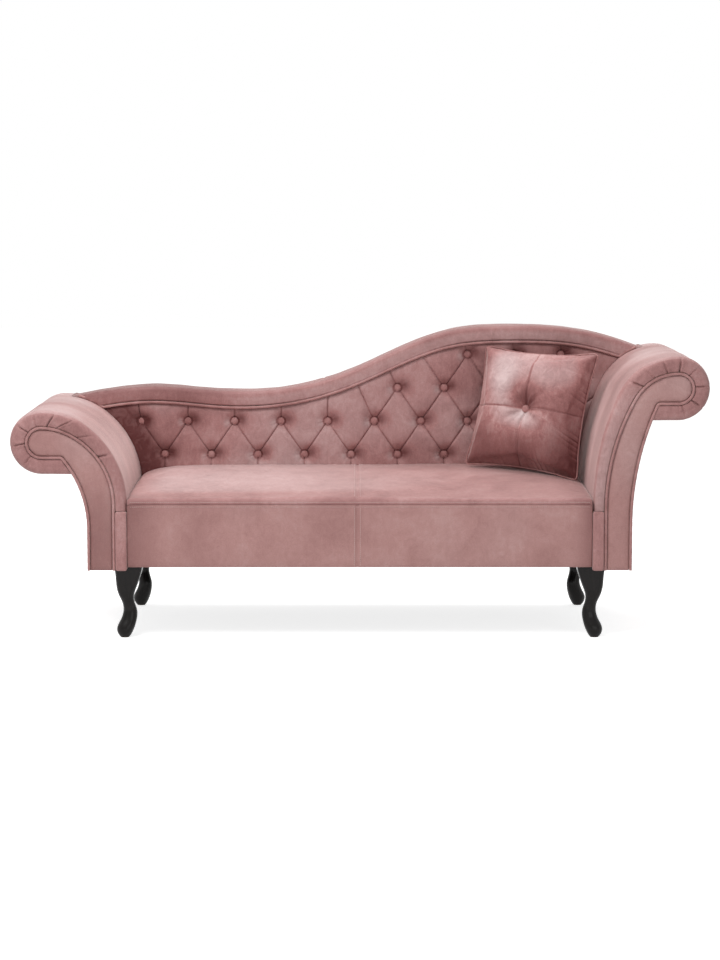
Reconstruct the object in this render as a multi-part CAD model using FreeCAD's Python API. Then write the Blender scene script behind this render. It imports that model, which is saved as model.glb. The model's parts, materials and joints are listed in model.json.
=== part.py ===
import FreeCAD, Part
import math
import os

V = FreeCAD.Vector

# Chaise longue in pink velvet with two scroll arms, the left one low and the right one high.
# Frame: X along the length, front towards -Y, Z up, origin under the middle on the floor. Millimetres.

# Overall sizes
LENGTH = 1800.0
DEPTH = 620.0
ARM_REACH = 300.0
BODY_BOTTOM = 188.0
ARM_DROP = 8.0

# Fits between pieces
SOFT_GAP = 0.3
SAME_PLACE = 0.01
BOLT_GAP = 0.15

# Arms, seen from the front: one scroll form, with its own height and bend on each side
ROLL_RADIUS = 82.5
ARM_PAD = 40.0
ARM_PAD_FOOT = 30.0
ARM_FOOT_THICK = 103.0
ARM_PAD_BOTTOM = 335.0
ARM_EDGE_ROUND = 16.0
LEFT_ARM_TOP = 594.0
LEFT_ARM_CROWN = 190.0
LEFT_ARM_BEND_RISE = 15.0
LEFT_NECK_RADIUS = 278.0
LEFT_NECK_BEND = 290.0
RIGHT_ARM_TOP = 733.0
RIGHT_ARM_CROWN = 170.0
RIGHT_ARM_BEND_RISE = 5.0
RIGHT_NECK_RADIUS = 760.0
RIGHT_NECK_BEND = 300.0
ARM_BOARD = 18.0
FACING_THICK = 12.0
FACING_SETBACK = 6.0
FACING_ROUND = 4.0
ARM_WELT = 8.0
OUTER_PANEL = 4.0
ARM_LINING = 3.0
ARM_RAIL_THICK = 24.0
ARM_RAIL_HEIGHT = 100.0
ARM_RAIL_RISE = 2.0
ARM_SLAT_WIDE = 30.0
ARM_SLAT_THICK = 18.0
ARM_SLAT_REST = 12.0
STRIP_SEAM = 1.0
STRIP_ROUND = 8.0
WELT_CORNER = 6.0

# Seat
END_RAIL = 55.0
END_RAIL_OVERLAP = 30.0
RAIL_THICK = 25.0
RAIL_HEIGHT = 97.0
CENTRE_RAIL_THICK = 30.0
CENTRE_RAIL_DROP = 25.0
CORNER_BLOCK = 90.0
CORNER_BLOCK_HEIGHT = 70.0
SEAT_BACK_GAP = 1.0
REAR_RAIL_SETBACK = 14.0
SPRING_COUNT = 10
SPRING_WIRE = 3.8
SPRING_WIDE = 46.0
SPRING_TURN = 11.0
SPRING_HOLD = 16.0
CLIP_WIDE = 14.0
CLIP_LONG = 24.0
CLIP_STEEL = 1.2
FELT_THICK = 5.0
SEAT_SEAM_HEIGHT = 352.0
SEAT_CROWN = 52.0
SEAT_END_DROP = 26.0
SEAT_END_ROUND = 55.0
SEAT_NOSE = 16.0
SEAT_FULLNESS = 0.82
SEAT_END_STEPS = [0, 0.35, 0.8, 1.5, 3, 6]
SEAM_LIP = 1.0
BORDER_THICK = 18.0
BORDER_SETBACK = 8.0
BORDER_SWELL = 5.0
DUST_COVER = 1.0

# Back, seen from the front: the line of the top, low on the left and high on the right
# Each height stands at a place past the nearer seat end, or past the middle
LEFT_END_HEIGHT = 590.0
LEFT_END_PAST_SEAT = 192.0
SWELL_HEIGHT = 620.5
SWELL_INSIDE_SEAT = 25.0
TROUGH_HEIGHT = 606.0
TROUGH_INSIDE_SEAT = 238.0
RISE_HEIGHT = 653.0
RISE_BEFORE_MIDDLE = 51.0
CLIMB_HEIGHT = 731.0
CLIMB_PAST_MIDDLE = 127.0
SHOULDER_HEIGHT = 774.0
SHOULDER_PAST_MIDDLE = 255.0
CREST_HEIGHT = 786.0
CREST_INSIDE_SEAT = 200.0
FALL_HEIGHT = 773.5
FALL_PAST_SEAT = 12.0
TURN_HEIGHT = 750.0
TURN_PAST_SEAT = 103.0
RIGHT_END_HEIGHT = 725.0
RIGHT_END_PAST_SEAT = 178.0
ROLL_HEIGHT = 42.0
ROLL_OVERHANG = 6.0
ROLL_SETBACK = 8.0
ROLL_ROUND = 16.0
BACK_WELT = 7.0
BACK_WELT_DROP = 4.1
PAD_SETBACK = 118.0
PAD_THICK = 46.0
BACK_BOARD = 12.0
TOP_RAIL_HEIGHT = 60.0
POST_WIDE = 45.0
OUTER_BACK = 10.0
TUFT_PITCH = 128.4
TUFT_FROM_SEAT_END = 63.0
TUFT_ROW_LOW = 430.0
TUFT_ROW_RISE = 92.0
TUFT_SEAT = 30.0
TUFT_CREASE = 15.0
TUFT_BULGE = 26.0
TUFT_HALF_BULGE = 14.0
PLEAT_WIDE = 14.0
TUFT_SPREAD = 0.25
TUFT_FLAT = 1.0
TUFT_TOP_EDGE = 55.0
BUTTON_WIDE = 22.0
BUTTON_DOME = 4.0
BUTTON_RIM = 3.5
TIE_WIDE = 3.0
TOGGLE_WIDE = 16.0
TOGGLE_THICK = 3.0

# Throw cushion, leaning in the corner of the back and the right arm
CUSHION = 345.0
CUSHION_CROWN = 58.0
CUSHION_EDGE = 3.0
CUSHION_PULL = 15.0
CUSHION_TUFT = 20.0
CUSHION_CLOTH = 2.5
CUSHION_WELL = 2.4
CUSHION_STEPS = [-1, -0.72, -0.4, -0.18, 0, 0.18, 0.4, 0.72, 1]
CUSHION_TUFT_SPREAD = 0.16
CUSHION_FULLNESS = 0.75
CUSHION_PULL_POWER = 6
CUSHION_SHOULDER = 0.8
CUSHION_FROM_SEAT_END = 136.0
CUSHION_FROM_PAD = 126.0
CUSHION_HEIGHT = 560.4
CUSHION_TURN = -27.0
CUSHION_LEAN = 15.0
CUSHION_ROLL = 4.0
CUSHION_BUTTON = 20.0

# Legs, with the profile's height above the glide, share of the widening, offset outwards and corner
LEG_SETBACK = 63.0
LEG_TOP = 72.0
ANKLE = 32.0
TOE_OUT = 11.0
LEG_FIT = 1.4
LEG_TOP_CORNER = 0.3
LEG_PROFILE = [
    (0, -0.12, TOE_OUT, 0.96),
    (7, 0.1, TOE_OUT, 0.96),
    (22, 0.325, 8.8, 0.95),
    (42, 0.235, 1.7, 0.92),
    (64, 0.096, -2.2, 0.9),
    (88, 0.0, 2.1, 0.85),
    (106, 0.16, 6.3, 0.75),
    (130, 0.5, 5.6, 0.6),
    (161, 0.82, 1.4, 0.4),
    (177, 0.965, 0.0, 0.35),
]
GLIDE_WIDE = 22.0
GLIDE_THICK = 3.0

# Fasteners
BOLT = 8.0
LEG_BOLT_LENGTH = 85.0
LEG_BOLT_IN_LEG = 35.0
INSERT_WIDE = 12.0
INSERT_LENGTH = 15.0
ARM_BOLT_HEAD = 16.0
ARM_BOLT_HEAD_THICK = 5.0
ARM_BOLTS = 3
WASHER_WIDE = 24.0
WASHER_THICK = 2.0

HALF_LENGTH = LENGTH / 2
HALF_DEPTH = DEPTH / 2
HALF_SEAT = HALF_LENGTH - ARM_REACH
ARM_WAIST = HALF_SEAT + ARM_FOOT_THICK
ARM_BOTTOM = BODY_BOTTOM - ARM_DROP
LEG_X = HALF_SEAT
LEG_Y = HALF_DEPTH - LEG_SETBACK
LEG_HEIGHT = BODY_BOTTOM - GLIDE_THICK
PAD_FRONT = HALF_DEPTH - PAD_SETBACK
ROLL_FRONT = PAD_FRONT - ROLL_OVERHANG
ROLL_BACK = HALF_DEPTH - ROLL_SETBACK
CUSHION_AT = (HALF_SEAT - CUSHION_FROM_SEAT_END, PAD_FRONT - CUSHION_FROM_PAD, CUSHION_HEIGHT)
RAIL_TOP = BODY_BOTTOM + RAIL_HEIGHT
SEAT_REAR = PAD_FRONT - SEAT_BACK_GAP
REAR_RAIL_BACK = HALF_DEPTH - REAR_RAIL_SETBACK
RAIL_FRONT = -HALF_DEPTH + BORDER_SETBACK + BORDER_THICK


# Small helpers
def line(a, b):
    return Part.LineSegment(V(*a), V(*b)).toShape()


def arc(a, m, b):
    return Part.Arc(V(*a), V(*m), V(*b)).toShape()


def box(x0, x1, y0, y1, z0, z1):
    return Part.makeBox(x1 - x0, y1 - y0, z1 - z0, V(x0, y0, z0))


def prism(edges, y0, y1):
    """The closed front outline given by edges at y = 0, carried from y0 to y1."""
    face = Part.Face(Part.Wire(edges))
    face.translate(V(0, y0, 0))
    return face.extrude(V(0, y1 - y0, 0))


def on_circle(centre, radius, angle):
    return (centre[0] + radius * math.cos(angle), centre[1] + radius * math.sin(angle))


def flat_arc(side, centre, radius, start, end):
    """An arc in the front plane about centre, with side = -1 for its mirror image."""
    points = [on_circle(centre, radius, a) for a in (start, (start + end) / 2, end)]
    return arc(*[(side * s, 0, z) for s, z in points])


def flat_line(side, a, b):
    return line((side * a[0], 0, a[1]), (side * b[0], 0, b[1]))


def save(name, shapes):
    """Writes one node: a solid, or a group of separate solids."""
    shape = shapes if isinstance(shapes, Part.Shape) else Part.makeCompound(shapes)
    shape.exportStep(os.path.join("parts", name + ".step"))


# Arms
class Arm:
    """One scroll arm. Its outlines are measured outwards from the middle of the piece."""

    def __init__(self, name, side, top, crown, bend_rise, neck_radius, neck_bend):
        self.name = name
        self.side = side
        self.top = top
        self.crown = crown
        self.bend = ARM_PAD_BOTTOM + bend_rise
        self.neck_radius = neck_radius
        self.neck_bend = neck_bend
        self.roll_centre = (HALF_LENGTH - ROLL_RADIUS, top - ROLL_RADIUS)

    def neck(self, height, inset):
        """How far out the hollow outer face stands at a height."""
        radius = self.neck_radius + inset
        centre = ARM_WAIST + self.neck_radius
        return centre - math.sqrt(radius ** 2 - (height - self.neck_bend) ** 2)

    def inner_curve(self, roll_inset, foot_inset, bottom):
        """From the foot of the seat side, up and over the crown to the top of the roll."""
        foot = HALF_SEAT + foot_inset
        top = self.top - roll_inset
        small = self.crown - roll_inset
        across = self.roll_centre[0] - foot
        rise = top - small - self.bend
        large = (across ** 2 + rise ** 2 - small ** 2) / (2 * (across - small))
        large_centre = (foot + large, self.bend)
        small_centre = (self.roll_centre[0], top - small)
        meet = math.atan2(small_centre[1] - large_centre[1], small_centre[0] - large_centre[0])
        return [
            flat_line(self.side, (foot, bottom), (foot, self.bend)),
            flat_arc(self.side, large_centre, large, math.pi, meet),
            flat_arc(self.side, small_centre, small, meet, math.pi / 2),
        ]

    def roll_curve(self, inset):
        """Round the roll from its top to its underside, in two quarter turns."""
        radius = ROLL_RADIUS - inset
        return [
            flat_arc(self.side, self.roll_centre, radius, math.pi / 2, 0),
            flat_arc(self.side, self.roll_centre, radius, 0, -math.pi / 2),
        ]

    def underside(self, inset):
        return self.top - 2 * ROLL_RADIUS + inset

    def neck_curve(self, low, high, inset):
        """The hollow outer face between two heights above its bend."""
        radius = self.neck_radius + inset
        centre = (ARM_WAIST + self.neck_radius, self.neck_bend)
        turn = [math.pi - math.asin((z - self.neck_bend) / radius) for z in (high, low)]
        return flat_arc(self.side, centre, radius, turn[0], turn[1])

    def outline(self, roll_inset, foot_inset, outer_inset, bottom):
        """The whole closed outline, drawn in from the outside of the pad by the insets."""
        under = self.underside(roll_inset)
        corner = (self.neck(under, outer_inset), under)
        roll_bottom = (self.roll_centre[0], under)
        waist = ARM_WAIST - outer_inset
        foot = HALF_SEAT + foot_inset
        edges = self.inner_curve(roll_inset, foot_inset, bottom)
        edges += self.roll_curve(roll_inset)
        edges.append(flat_line(self.side, roll_bottom, corner))
        edges.append(self.neck_curve(self.neck_bend, under, outer_inset))
        edges.append(flat_line(self.side, (waist, self.neck_bend), (waist, bottom)))
        edges.append(flat_line(self.side, (waist, bottom), (foot, bottom)))
        return edges

    def facing_outline(self, extra):
        return self.outline(ARM_PAD + extra, ARM_PAD_FOOT + extra, extra, ARM_BOTTOM + extra)

    def pad(self):
        """The padded band: over the seat side, the crown and the roll, to the neck below it."""
        under = self.underside(0)
        inner_under = self.underside(ARM_PAD)
        roll_x = self.roll_centre[0]
        outer = self.inner_curve(0, 0, ARM_PAD_BOTTOM) + self.roll_curve(0)
        outer.append(flat_line(self.side, (roll_x, under), (self.neck(under, 0), under)))
        inner = self.inner_curve(ARM_PAD, ARM_PAD_FOOT, ARM_PAD_BOTTOM) + self.roll_curve(ARM_PAD)
        neck_top = (self.neck(inner_under, 0), inner_under)
        inner.append(flat_line(self.side, (roll_x, inner_under), neck_top))
        ends = [self.neck_curve(under, inner_under, 0)]
        foot_ends = (HALF_SEAT, ARM_PAD_BOTTOM), (HALF_SEAT + ARM_PAD_FOOT, ARM_PAD_BOTTOM)
        ends.append(flat_line(self.side, *foot_ends))
        wire = Part.__sortEdges__(outer + inner + ends)
        solid = prism(wire, -HALF_DEPTH, HALF_DEPTH)
        rim = [e for e in solid.Edges if self.on_rim(e, outer)]
        return solid.makeFillet(ARM_EDGE_ROUND, rim)

    def on_rim(self, edge, outer):
        """Whether an edge is one of the outer curves at the front or rear end."""
        middle = edge.valueAt((edge.FirstParameter + edge.LastParameter) / 2)
        if abs(abs(middle.y) - HALF_DEPTH) > 0.01:
            return False
        point = Part.Vertex(V(middle.x, 0, middle.z))
        return any(point.distToShape(e)[0] < 0.01 for e in outer)


ARMS = [
    Arm("left", -1, LEFT_ARM_TOP, LEFT_ARM_CROWN, LEFT_ARM_BEND_RISE, LEFT_NECK_RADIUS, LEFT_NECK_BEND),
    Arm("right", 1, RIGHT_ARM_TOP, RIGHT_ARM_CROWN, RIGHT_ARM_BEND_RISE, RIGHT_NECK_RADIUS, RIGHT_NECK_BEND),
]

FACING_FRONT = -HALF_DEPTH + FACING_SETBACK
BOARD_FRONT = FACING_FRONT + FACING_THICK
BOARD_BACK = BOARD_FRONT + ARM_BOARD


def both_ends(y0, y1):
    """The front span of y and its mirror image at the rear."""
    return [("front", y0, y1), ("rear", -y1, -y0)]


def arm_boards(arm):
    edges = arm.outline(ARM_PAD + SOFT_GAP, ARM_PAD_FOOT + SOFT_GAP, OUTER_PANEL + SOFT_GAP, BODY_BOTTOM)
    for place, y0, y1 in both_ends(BOARD_FRONT, BOARD_BACK):
        save(f"{arm.name}_arm_{place}_board", prism(edges, y0, y1))


def arm_facings(arm):
    """Flat padded panels that close the ends of the arm inside the welt."""
    edges = arm.facing_outline(ARM_WELT + SOFT_GAP)
    for place, y0, y1 in both_ends(FACING_FRONT, BOARD_FRONT):
        panel = prism(edges, y0, y1)
        end = y0 if place == "front" else y1
        rim = [e for e in panel.Edges if all(abs(v.Y - end) < SAME_PLACE for v in e.Vertexes)]
        save(f"{arm.name}_arm_{place}_facing", panel.makeFillet(FACING_ROUND, rim))


def arm_welts(arm):
    """A round welt cord in the groove between the pad and each facing."""
    radius = ARM_WELT / 2 - SOFT_GAP / 2
    sharp = Part.Wire(arm.facing_outline(ARM_WELT / 2 + SOFT_GAP / 2 - WELT_CORNER))
    path = sharp.makeOffset2D(-2 * WELT_CORNER).makeOffset2D(WELT_CORNER)
    depth = FACING_FRONT + ARM_WELT / 2
    for place, at_y in (("front", depth), ("rear", -depth)):
        route = path.copy()
        route.translate(V(0, at_y, 0))
        first = route.OrderedEdges[0]
        start = first.valueAt(first.FirstParameter)
        ring = Part.Wire(Part.makeCircle(radius, start, first.tangentAt(first.FirstParameter)))
        save(f"{arm.name}_arm_{place}_welt", Part.Wire(route.OrderedEdges).makePipeShell([ring], True, False))


def arm_lining(arm):
    """The bent board under the pad, between the two end boards."""
    start = ARM_PAD_BOTTOM
    skin = ARM_PAD + SOFT_GAP, ARM_PAD_FOOT + SOFT_GAP
    outer = arm.inner_curve(skin[0], skin[1], start)
    inner = arm.inner_curve(skin[0] + ARM_LINING, skin[1] + ARM_LINING, start)
    foot = HALF_SEAT + skin[1]
    top = arm.top - skin[0]
    roll_x = arm.roll_centre[0]
    ends = [
        flat_line(arm.side, (foot, start), (foot + ARM_LINING, start)),
        flat_line(arm.side, (roll_x, top), (roll_x, top - ARM_LINING)),
    ]
    wire = Part.__sortEdges__(outer + inner + ends)
    save(f"{arm.name}_arm_lining", prism(wire, BOARD_BACK, -BOARD_BACK))


def arm_outer_panel(arm):
    """The outside panel, from the foot up into the hollow below the roll."""
    low = ARM_BOTTOM
    high = arm.underside(0) - SOFT_GAP
    waist = ARM_WAIST
    thin = OUTER_PANEL
    edges = [
        flat_line(arm.side, (waist - thin, low), (waist, low)),
        flat_line(arm.side, (waist, low), (waist, arm.neck_bend)),
        arm.neck_curve(arm.neck_bend, high, 0),
        flat_line(arm.side, (arm.neck(high, 0), high), (arm.neck(high, thin), high)),
        arm.neck_curve(arm.neck_bend, high, thin),
        flat_line(arm.side, (waist - thin, arm.neck_bend), (waist - thin, low)),
    ]
    wire = Part.__sortEdges__(edges)
    save(f"{arm.name}_arm_outer_panel", prism(wire, BOARD_FRONT, -BOARD_FRONT))


def mirrored_box(side, s0, s1, y0, y1, z0, z1):
    return box(min(side * s0, side * s1), max(side * s0, side * s1), y0, y1, z0, z1)


def arm_rails(arm):
    """The foot rail that the seat is bolted to, and slats along the waist, the neck and the roll."""
    y1 = -BOARD_BACK
    foot = HALF_SEAT + ARM_PAD_FOOT + SOFT_GAP
    low = BODY_BOTTOM + ARM_RAIL_RISE
    rail = mirrored_box(arm.side, foot, foot + ARM_RAIL_THICK, -y1, y1, low, low + ARM_RAIL_HEIGHT)
    rail = rail.cut(Part.makeCompound(arm_bolt_holes(arm.side)))
    save(f"{arm.name}_arm_foot_rail", rail)
    waist = ARM_WAIST - OUTER_PANEL - SOFT_GAP
    thick = ARM_SLAT_THICK
    waist_slat = mirrored_box(arm.side, waist - thick, waist, -y1, y1, low, low + ARM_SLAT_WIDE)
    roll_x, roll_z = arm.roll_centre
    half = ARM_SLAT_WIDE / 2
    roll_slat = mirrored_box(arm.side, roll_x - half, roll_x + half, -y1, y1, roll_z - half, roll_z + half)
    neck_z = arm.underside(ARM_PAD) - ARM_SLAT_WIDE - ARM_SLAT_REST
    neck_x = arm.neck(neck_z, OUTER_PANEL) - thick - ARM_LINING
    neck_slat = mirrored_box(arm.side, neck_x, neck_x + thick, -y1, y1, neck_z, neck_z + ARM_SLAT_WIDE)
    save(f"{arm.name}_arm_slats", [waist_slat, neck_slat, roll_slat])


def arm_strips(arm):
    """The upholstered strips below the pad, over the ends of the seat's end rail."""
    low, high = ARM_BOTTOM, ARM_PAD_BOTTOM - STRIP_SEAM
    foot, out = HALF_SEAT + SOFT_GAP, HALF_SEAT + ARM_PAD_FOOT
    strips = []
    for y0, y1 in ((-HALF_DEPTH, RAIL_FRONT), (-BOARD_FRONT, HALF_DEPTH)):
        block = mirrored_box(arm.side, foot, out, y0, y1, low, high)
        end = y0 if y0 < 0 else y1
        rim = [
            e for e in block.Edges
            if all(abs(v.Y - end) < SAME_PLACE for v in e.Vertexes) and abs(e.Vertexes[0].X - e.Vertexes[1].X) < 0.01
        ]
        strips.append(block.makeFillet(STRIP_ROUND, rim))
    save(f"{arm.name}_arm_strips", strips)


def arm_envelope():
    """Both arms' outer shapes, grown by the soft gap, to shape what ends against them."""
    shapes = []
    for arm in ARMS:
        edges = arm.outline(-SOFT_GAP, -SOFT_GAP, -SOFT_GAP, ARM_BOTTOM - SOFT_GAP)
        shapes.append(prism(edges, -DEPTH, DEPTH))
    return Part.makeCompound(shapes)


def arm_bolt_places():
    """Places of the bolts between the end rail and the arm's foot rail, along y."""
    reach = LEG_Y - CORNER_BLOCK - WASHER_WIDE
    return [reach * (2 * i / (ARM_BOLTS - 1) - 1) for i in range(ARM_BOLTS)]


def arm_bolt_height():
    return BODY_BOTTOM + ARM_RAIL_RISE + ARM_RAIL_HEIGHT / 2


def arm_bolt_holes(side):
    start = HALF_SEAT - END_RAIL
    length = END_RAIL + ARM_PAD_FOOT + SOFT_GAP + ARM_RAIL_THICK
    return [
        Part.makeCylinder(BOLT / 2 + BOLT_GAP, length, V(side * start, y, arm_bolt_height()), V(side, 0, 0))
        for y in arm_bolt_places()
    ]


def arm_bolts():
    bolts = []
    washers = []
    for side in (-1, 1):
        face = HALF_SEAT + END_RAIL_OVERLAP - END_RAIL
        under_head = face - WASHER_THICK
        length = WASHER_THICK + END_RAIL + SOFT_GAP + ARM_RAIL_THICK
        for y in arm_bolt_places():
            seat = V(side * under_head, y, arm_bolt_height())
            out = V(side, 0, 0)
            shank = Part.makeCylinder(BOLT / 2, length, seat, out)
            head = Part.makeCylinder(ARM_BOLT_HEAD / 2, ARM_BOLT_HEAD_THICK, seat, V(-side, 0, 0))
            bolts.append(shank.fuse(head))
            disc = Part.makeCylinder(WASHER_WIDE / 2, WASHER_THICK, seat, out)
            hole = Part.makeCylinder(BOLT / 2 + BOLT_GAP, WASHER_THICK, seat, out)
            washers.append(disc.cut(hole))
    save("arm_bolts", bolts)
    save("arm_bolt_washers", washers)


# Seat
END_RAIL_FACE = HALF_SEAT + END_RAIL_OVERLAP - END_RAIL
REAR_RAIL_FRONT = REAR_RAIL_BACK - RAIL_THICK
CORNERS = [("front_left", -1, -1), ("front_right", 1, -1), ("rear_left", -1, 1), ("rear_right", 1, 1)]


def seat_end_rails():
    for name, side in (("left", -1), ("right", 1)):
        rail = mirrored_box(
            side, END_RAIL_FACE, HALF_SEAT + END_RAIL_OVERLAP, RAIL_FRONT, -BOARD_FRONT,
            BODY_BOTTOM, ARM_PAD_BOTTOM - STRIP_SEAM)
        holes = arm_bolt_holes(side)
        for end in (-1, 1):
            at = V(side * LEG_X, end * LEG_Y, BODY_BOTTOM)
            holes.append(Part.makeCylinder(INSERT_WIDE / 2 + BOLT_GAP, INSERT_LENGTH, at))
            bore = LEG_BOLT_LENGTH - LEG_BOLT_IN_LEG + BOLT_GAP
            holes.append(Part.makeCylinder(BOLT / 2 + BOLT_GAP, bore, at))
        save(f"seat_{name}_rail", rail.cut(Part.makeCompound(holes)))


def seat_long_rails():
    spans = (("front", RAIL_FRONT, RAIL_FRONT + RAIL_THICK), ("rear", REAR_RAIL_FRONT, REAR_RAIL_BACK))
    for name, y0, y1 in spans:
        save(f"seat_{name}_rail", box(-END_RAIL_FACE, END_RAIL_FACE, y0, y1, BODY_BOTTOM, RAIL_TOP))
    half = CENTRE_RAIL_THICK / 2
    top = RAIL_TOP - CENTRE_RAIL_DROP
    centre = box(-half, half, RAIL_FRONT + RAIL_THICK, REAR_RAIL_FRONT, BODY_BOTTOM, top)
    save("seat_centre_rail", centre)


def seat_corner_blocks():
    """Three-cornered blocks glued in the inner corners of the rails."""
    blocks = []
    for name, sx, sy in CORNERS:
        y = RAIL_FRONT + RAIL_THICK if sy < 0 else REAR_RAIL_FRONT
        x = sx * END_RAIL_FACE
        z = BODY_BOTTOM
        inward = -sy * CORNER_BLOCK
        corner = [(x, y, z), (x - sx * CORNER_BLOCK, y, z), (x, y + inward, z)]
        wire = Part.makePolygon([V(*p) for p in corner + corner[:1]])
        blocks.append(Part.Face(wire).extrude(V(0, 0, CORNER_BLOCK_HEIGHT)))
    save("seat_corner_blocks", blocks)


def spring_places():
    pitch = 2 * END_RAIL_FACE / (SPRING_COUNT + 1)
    return [-END_RAIL_FACE + pitch * (i + 1) for i in range(SPRING_COUNT)]


def seat_springs():
    """Zigzag springs from the front rail to the rear rail: straight runs joined by half turns."""
    wire_radius = SPRING_WIRE / 2
    start = RAIL_FRONT + SPRING_HOLD
    end = REAR_RAIL_BACK - SPRING_HOLD
    turns = 2 * int((end - start) / (2 * SPRING_TURN) / 2) + 1
    radius = (end - start) / turns / 2
    half = SPRING_WIDE / 2 - radius
    z = RAIL_TOP + wire_radius + CLIP_STEEL
    springs = []
    for x in spring_places():
        edges = []
        y = start
        out = 1
        for i in range(turns):
            edges.append(line((x - out * half, y, z), (x + out * half, y, z)))
            tip = x + out * half
            edges.append(arc((tip, y, z), (tip + out * radius, y + radius, z), (tip, y + 2 * radius, z)))
            y += 2 * radius
            out = -out
        edges.append(line((x - out * half, y, z), (x + out * half, y, z)))
        route = Part.Wire(edges)
        ring = Part.Wire(Part.makeCircle(wire_radius, V(x - half, start, z), V(1, 0, 0)))
        springs.append(route.makePipeShell([ring], True, False))
    save("seat_springs", springs)


def spring_clips():
    """A steel saddle over the end run of each spring, open towards the spring."""
    inner = SPRING_WIRE / 2 + BOLT_GAP
    clips = []
    for x in spring_places():
        for y in (RAIL_FRONT + SPRING_HOLD, REAR_RAIL_BACK - SPRING_HOLD):
            z = RAIL_TOP
            foot = box(x - CLIP_WIDE / 2, x + CLIP_WIDE / 2, y - CLIP_LONG / 2, y + CLIP_LONG / 2, z, z + CLIP_STEEL)
            wall = inner + CLIP_STEEL
            top = z + CLIP_STEEL + SPRING_WIRE + BOLT_GAP
            hood = box(x - CLIP_WIDE / 2, x + CLIP_WIDE / 2, y - wall, y + wall, z, top + CLIP_STEEL)
            room = box(x - CLIP_WIDE, x + CLIP_WIDE, y - inner, y + inner, z + CLIP_STEEL, top)
            clips.append(foot.fuse(hood).cut(room).removeSplitter())
    save("spring_clips", clips)


FELT_BOTTOM = RAIL_TOP + 2 * CLIP_STEEL + SPRING_WIRE + BOLT_GAP
FOAM_BOTTOM = FELT_BOTTOM + FELT_THICK


def seat_inside():
    """The felt over the springs and the foam slab on it."""
    inside = END_RAIL_FACE - SOFT_GAP
    save("seat_felt", box(-inside, inside, RAIL_FRONT, REAR_RAIL_BACK, FELT_BOTTOM, FOAM_BOTTOM))
    foam = box(-inside, inside, RAIL_FRONT, SEAT_REAR, FOAM_BOTTOM, SEAT_SEAM_HEIGHT)
    save("seat_foam", foam)
    reach = ARM_WAIST - OUTER_PANEL - SOFT_GAP
    half = LEG_TOP / 2 + SOFT_GAP
    low = BODY_BOTTOM - DUST_COVER
    cover = box(-reach, reach, RAIL_FRONT, -BOARD_FRONT, low, BODY_BOTTOM)
    for name, sx, sy in CORNERS:
        x, y = sx * LEG_X, sy * LEG_Y
        cover = cover.cut(box(x - half, x + half, y - half, y + half, low, BODY_BOTTOM))
    save("seat_dust_cover", cover)


def seat_section(x, crown):
    """One section of the crowned seat: a round nose at the front seam, then one long arc to the back."""
    front = -HALF_DEPTH + BORDER_SETBACK
    low = SEAT_SEAM_HEIGHT
    nose = SEAT_NOSE
    rise = low + crown
    nose_top = (x, front + nose, low + nose)
    seam = (x, front, low + SEAM_LIP)
    bow = nose * (1 - math.sqrt(0.5))
    turn = (x, front + bow, low + nose - bow)
    middle = (x, (front + SEAT_REAR) / 2, low + nose + (crown - nose) * SEAT_FULLNESS)
    rear = (x, SEAT_REAR, rise)
    edges = [
        line((x, front, low), seam),
        arc(seam, turn, nose_top),
        arc(nose_top, middle, rear),
        line(rear, (x, SEAT_REAR, low)),
        line((x, SEAT_REAR, low), (x, front, low)),
    ]
    return Part.Wire(edges)


def seat_pad():
    """The crowned seat: full in the middle and rounded down at both ends."""
    end = HALF_SEAT - SOFT_GAP
    steps = [-end + SEAT_END_ROUND * share for share in SEAT_END_STEPS]
    xs = steps + [0] + [-x for x in reversed(steps)]
    sections = []
    for x in xs:
        drop = SEAT_END_DROP * math.exp(-(end - abs(x)) / SEAT_END_ROUND)
        sections.append(seat_section(x, SEAT_CROWN - drop))
    save("seat_pad", Part.makeLoft(sections, True, True))


def seat_front_border():
    """The padded front panel under the seam, with a slight swell."""
    front = -HALF_DEPTH + BORDER_SETBACK
    low = BODY_BOTTOM
    high = SEAT_SEAM_HEIGHT - SOFT_GAP
    x = -HALF_SEAT + SOFT_GAP
    edges = [
        arc((x, front + BORDER_SWELL, low), (x, front, (low + high) / 2), (x, front + BORDER_SWELL, high)),
        line((x, front + BORDER_SWELL, high), (x, RAIL_FRONT, high)),
        line((x, RAIL_FRONT, high), (x, RAIL_FRONT, low)),
        line((x, RAIL_FRONT, low), (x, front + BORDER_SWELL, low)),
    ]
    panel = Part.Face(Part.Wire(edges)).extrude(V(-2 * x, 0, 0))
    save("seat_front_border", panel)


# Back
BACK_POINTS = [
    (-HALF_SEAT - LEFT_END_PAST_SEAT, LEFT_END_HEIGHT),
    (-HALF_SEAT + SWELL_INSIDE_SEAT, SWELL_HEIGHT),
    (-HALF_SEAT + TROUGH_INSIDE_SEAT, TROUGH_HEIGHT),
    (-RISE_BEFORE_MIDDLE, RISE_HEIGHT),
    (CLIMB_PAST_MIDDLE, CLIMB_HEIGHT),
    (SHOULDER_PAST_MIDDLE, SHOULDER_HEIGHT),
    (HALF_SEAT - CREST_INSIDE_SEAT, CREST_HEIGHT),
    (HALF_SEAT + FALL_PAST_SEAT, FALL_HEIGHT),
    (HALF_SEAT + TURN_PAST_SEAT, TURN_HEIGHT),
    (HALF_SEAT + RIGHT_END_PAST_SEAT, RIGHT_END_HEIGHT),
]
BACK_LEFT_END = BACK_POINTS[0]
BACK_RIGHT_END = BACK_POINTS[-1]


def back_curve(drop):
    """The serpentine line of the top, lowered by drop."""
    curve = Part.BSplineCurve()
    curve.interpolate([V(x, 0, z - drop) for x, z in BACK_POINTS])
    return curve.toShape()


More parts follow.
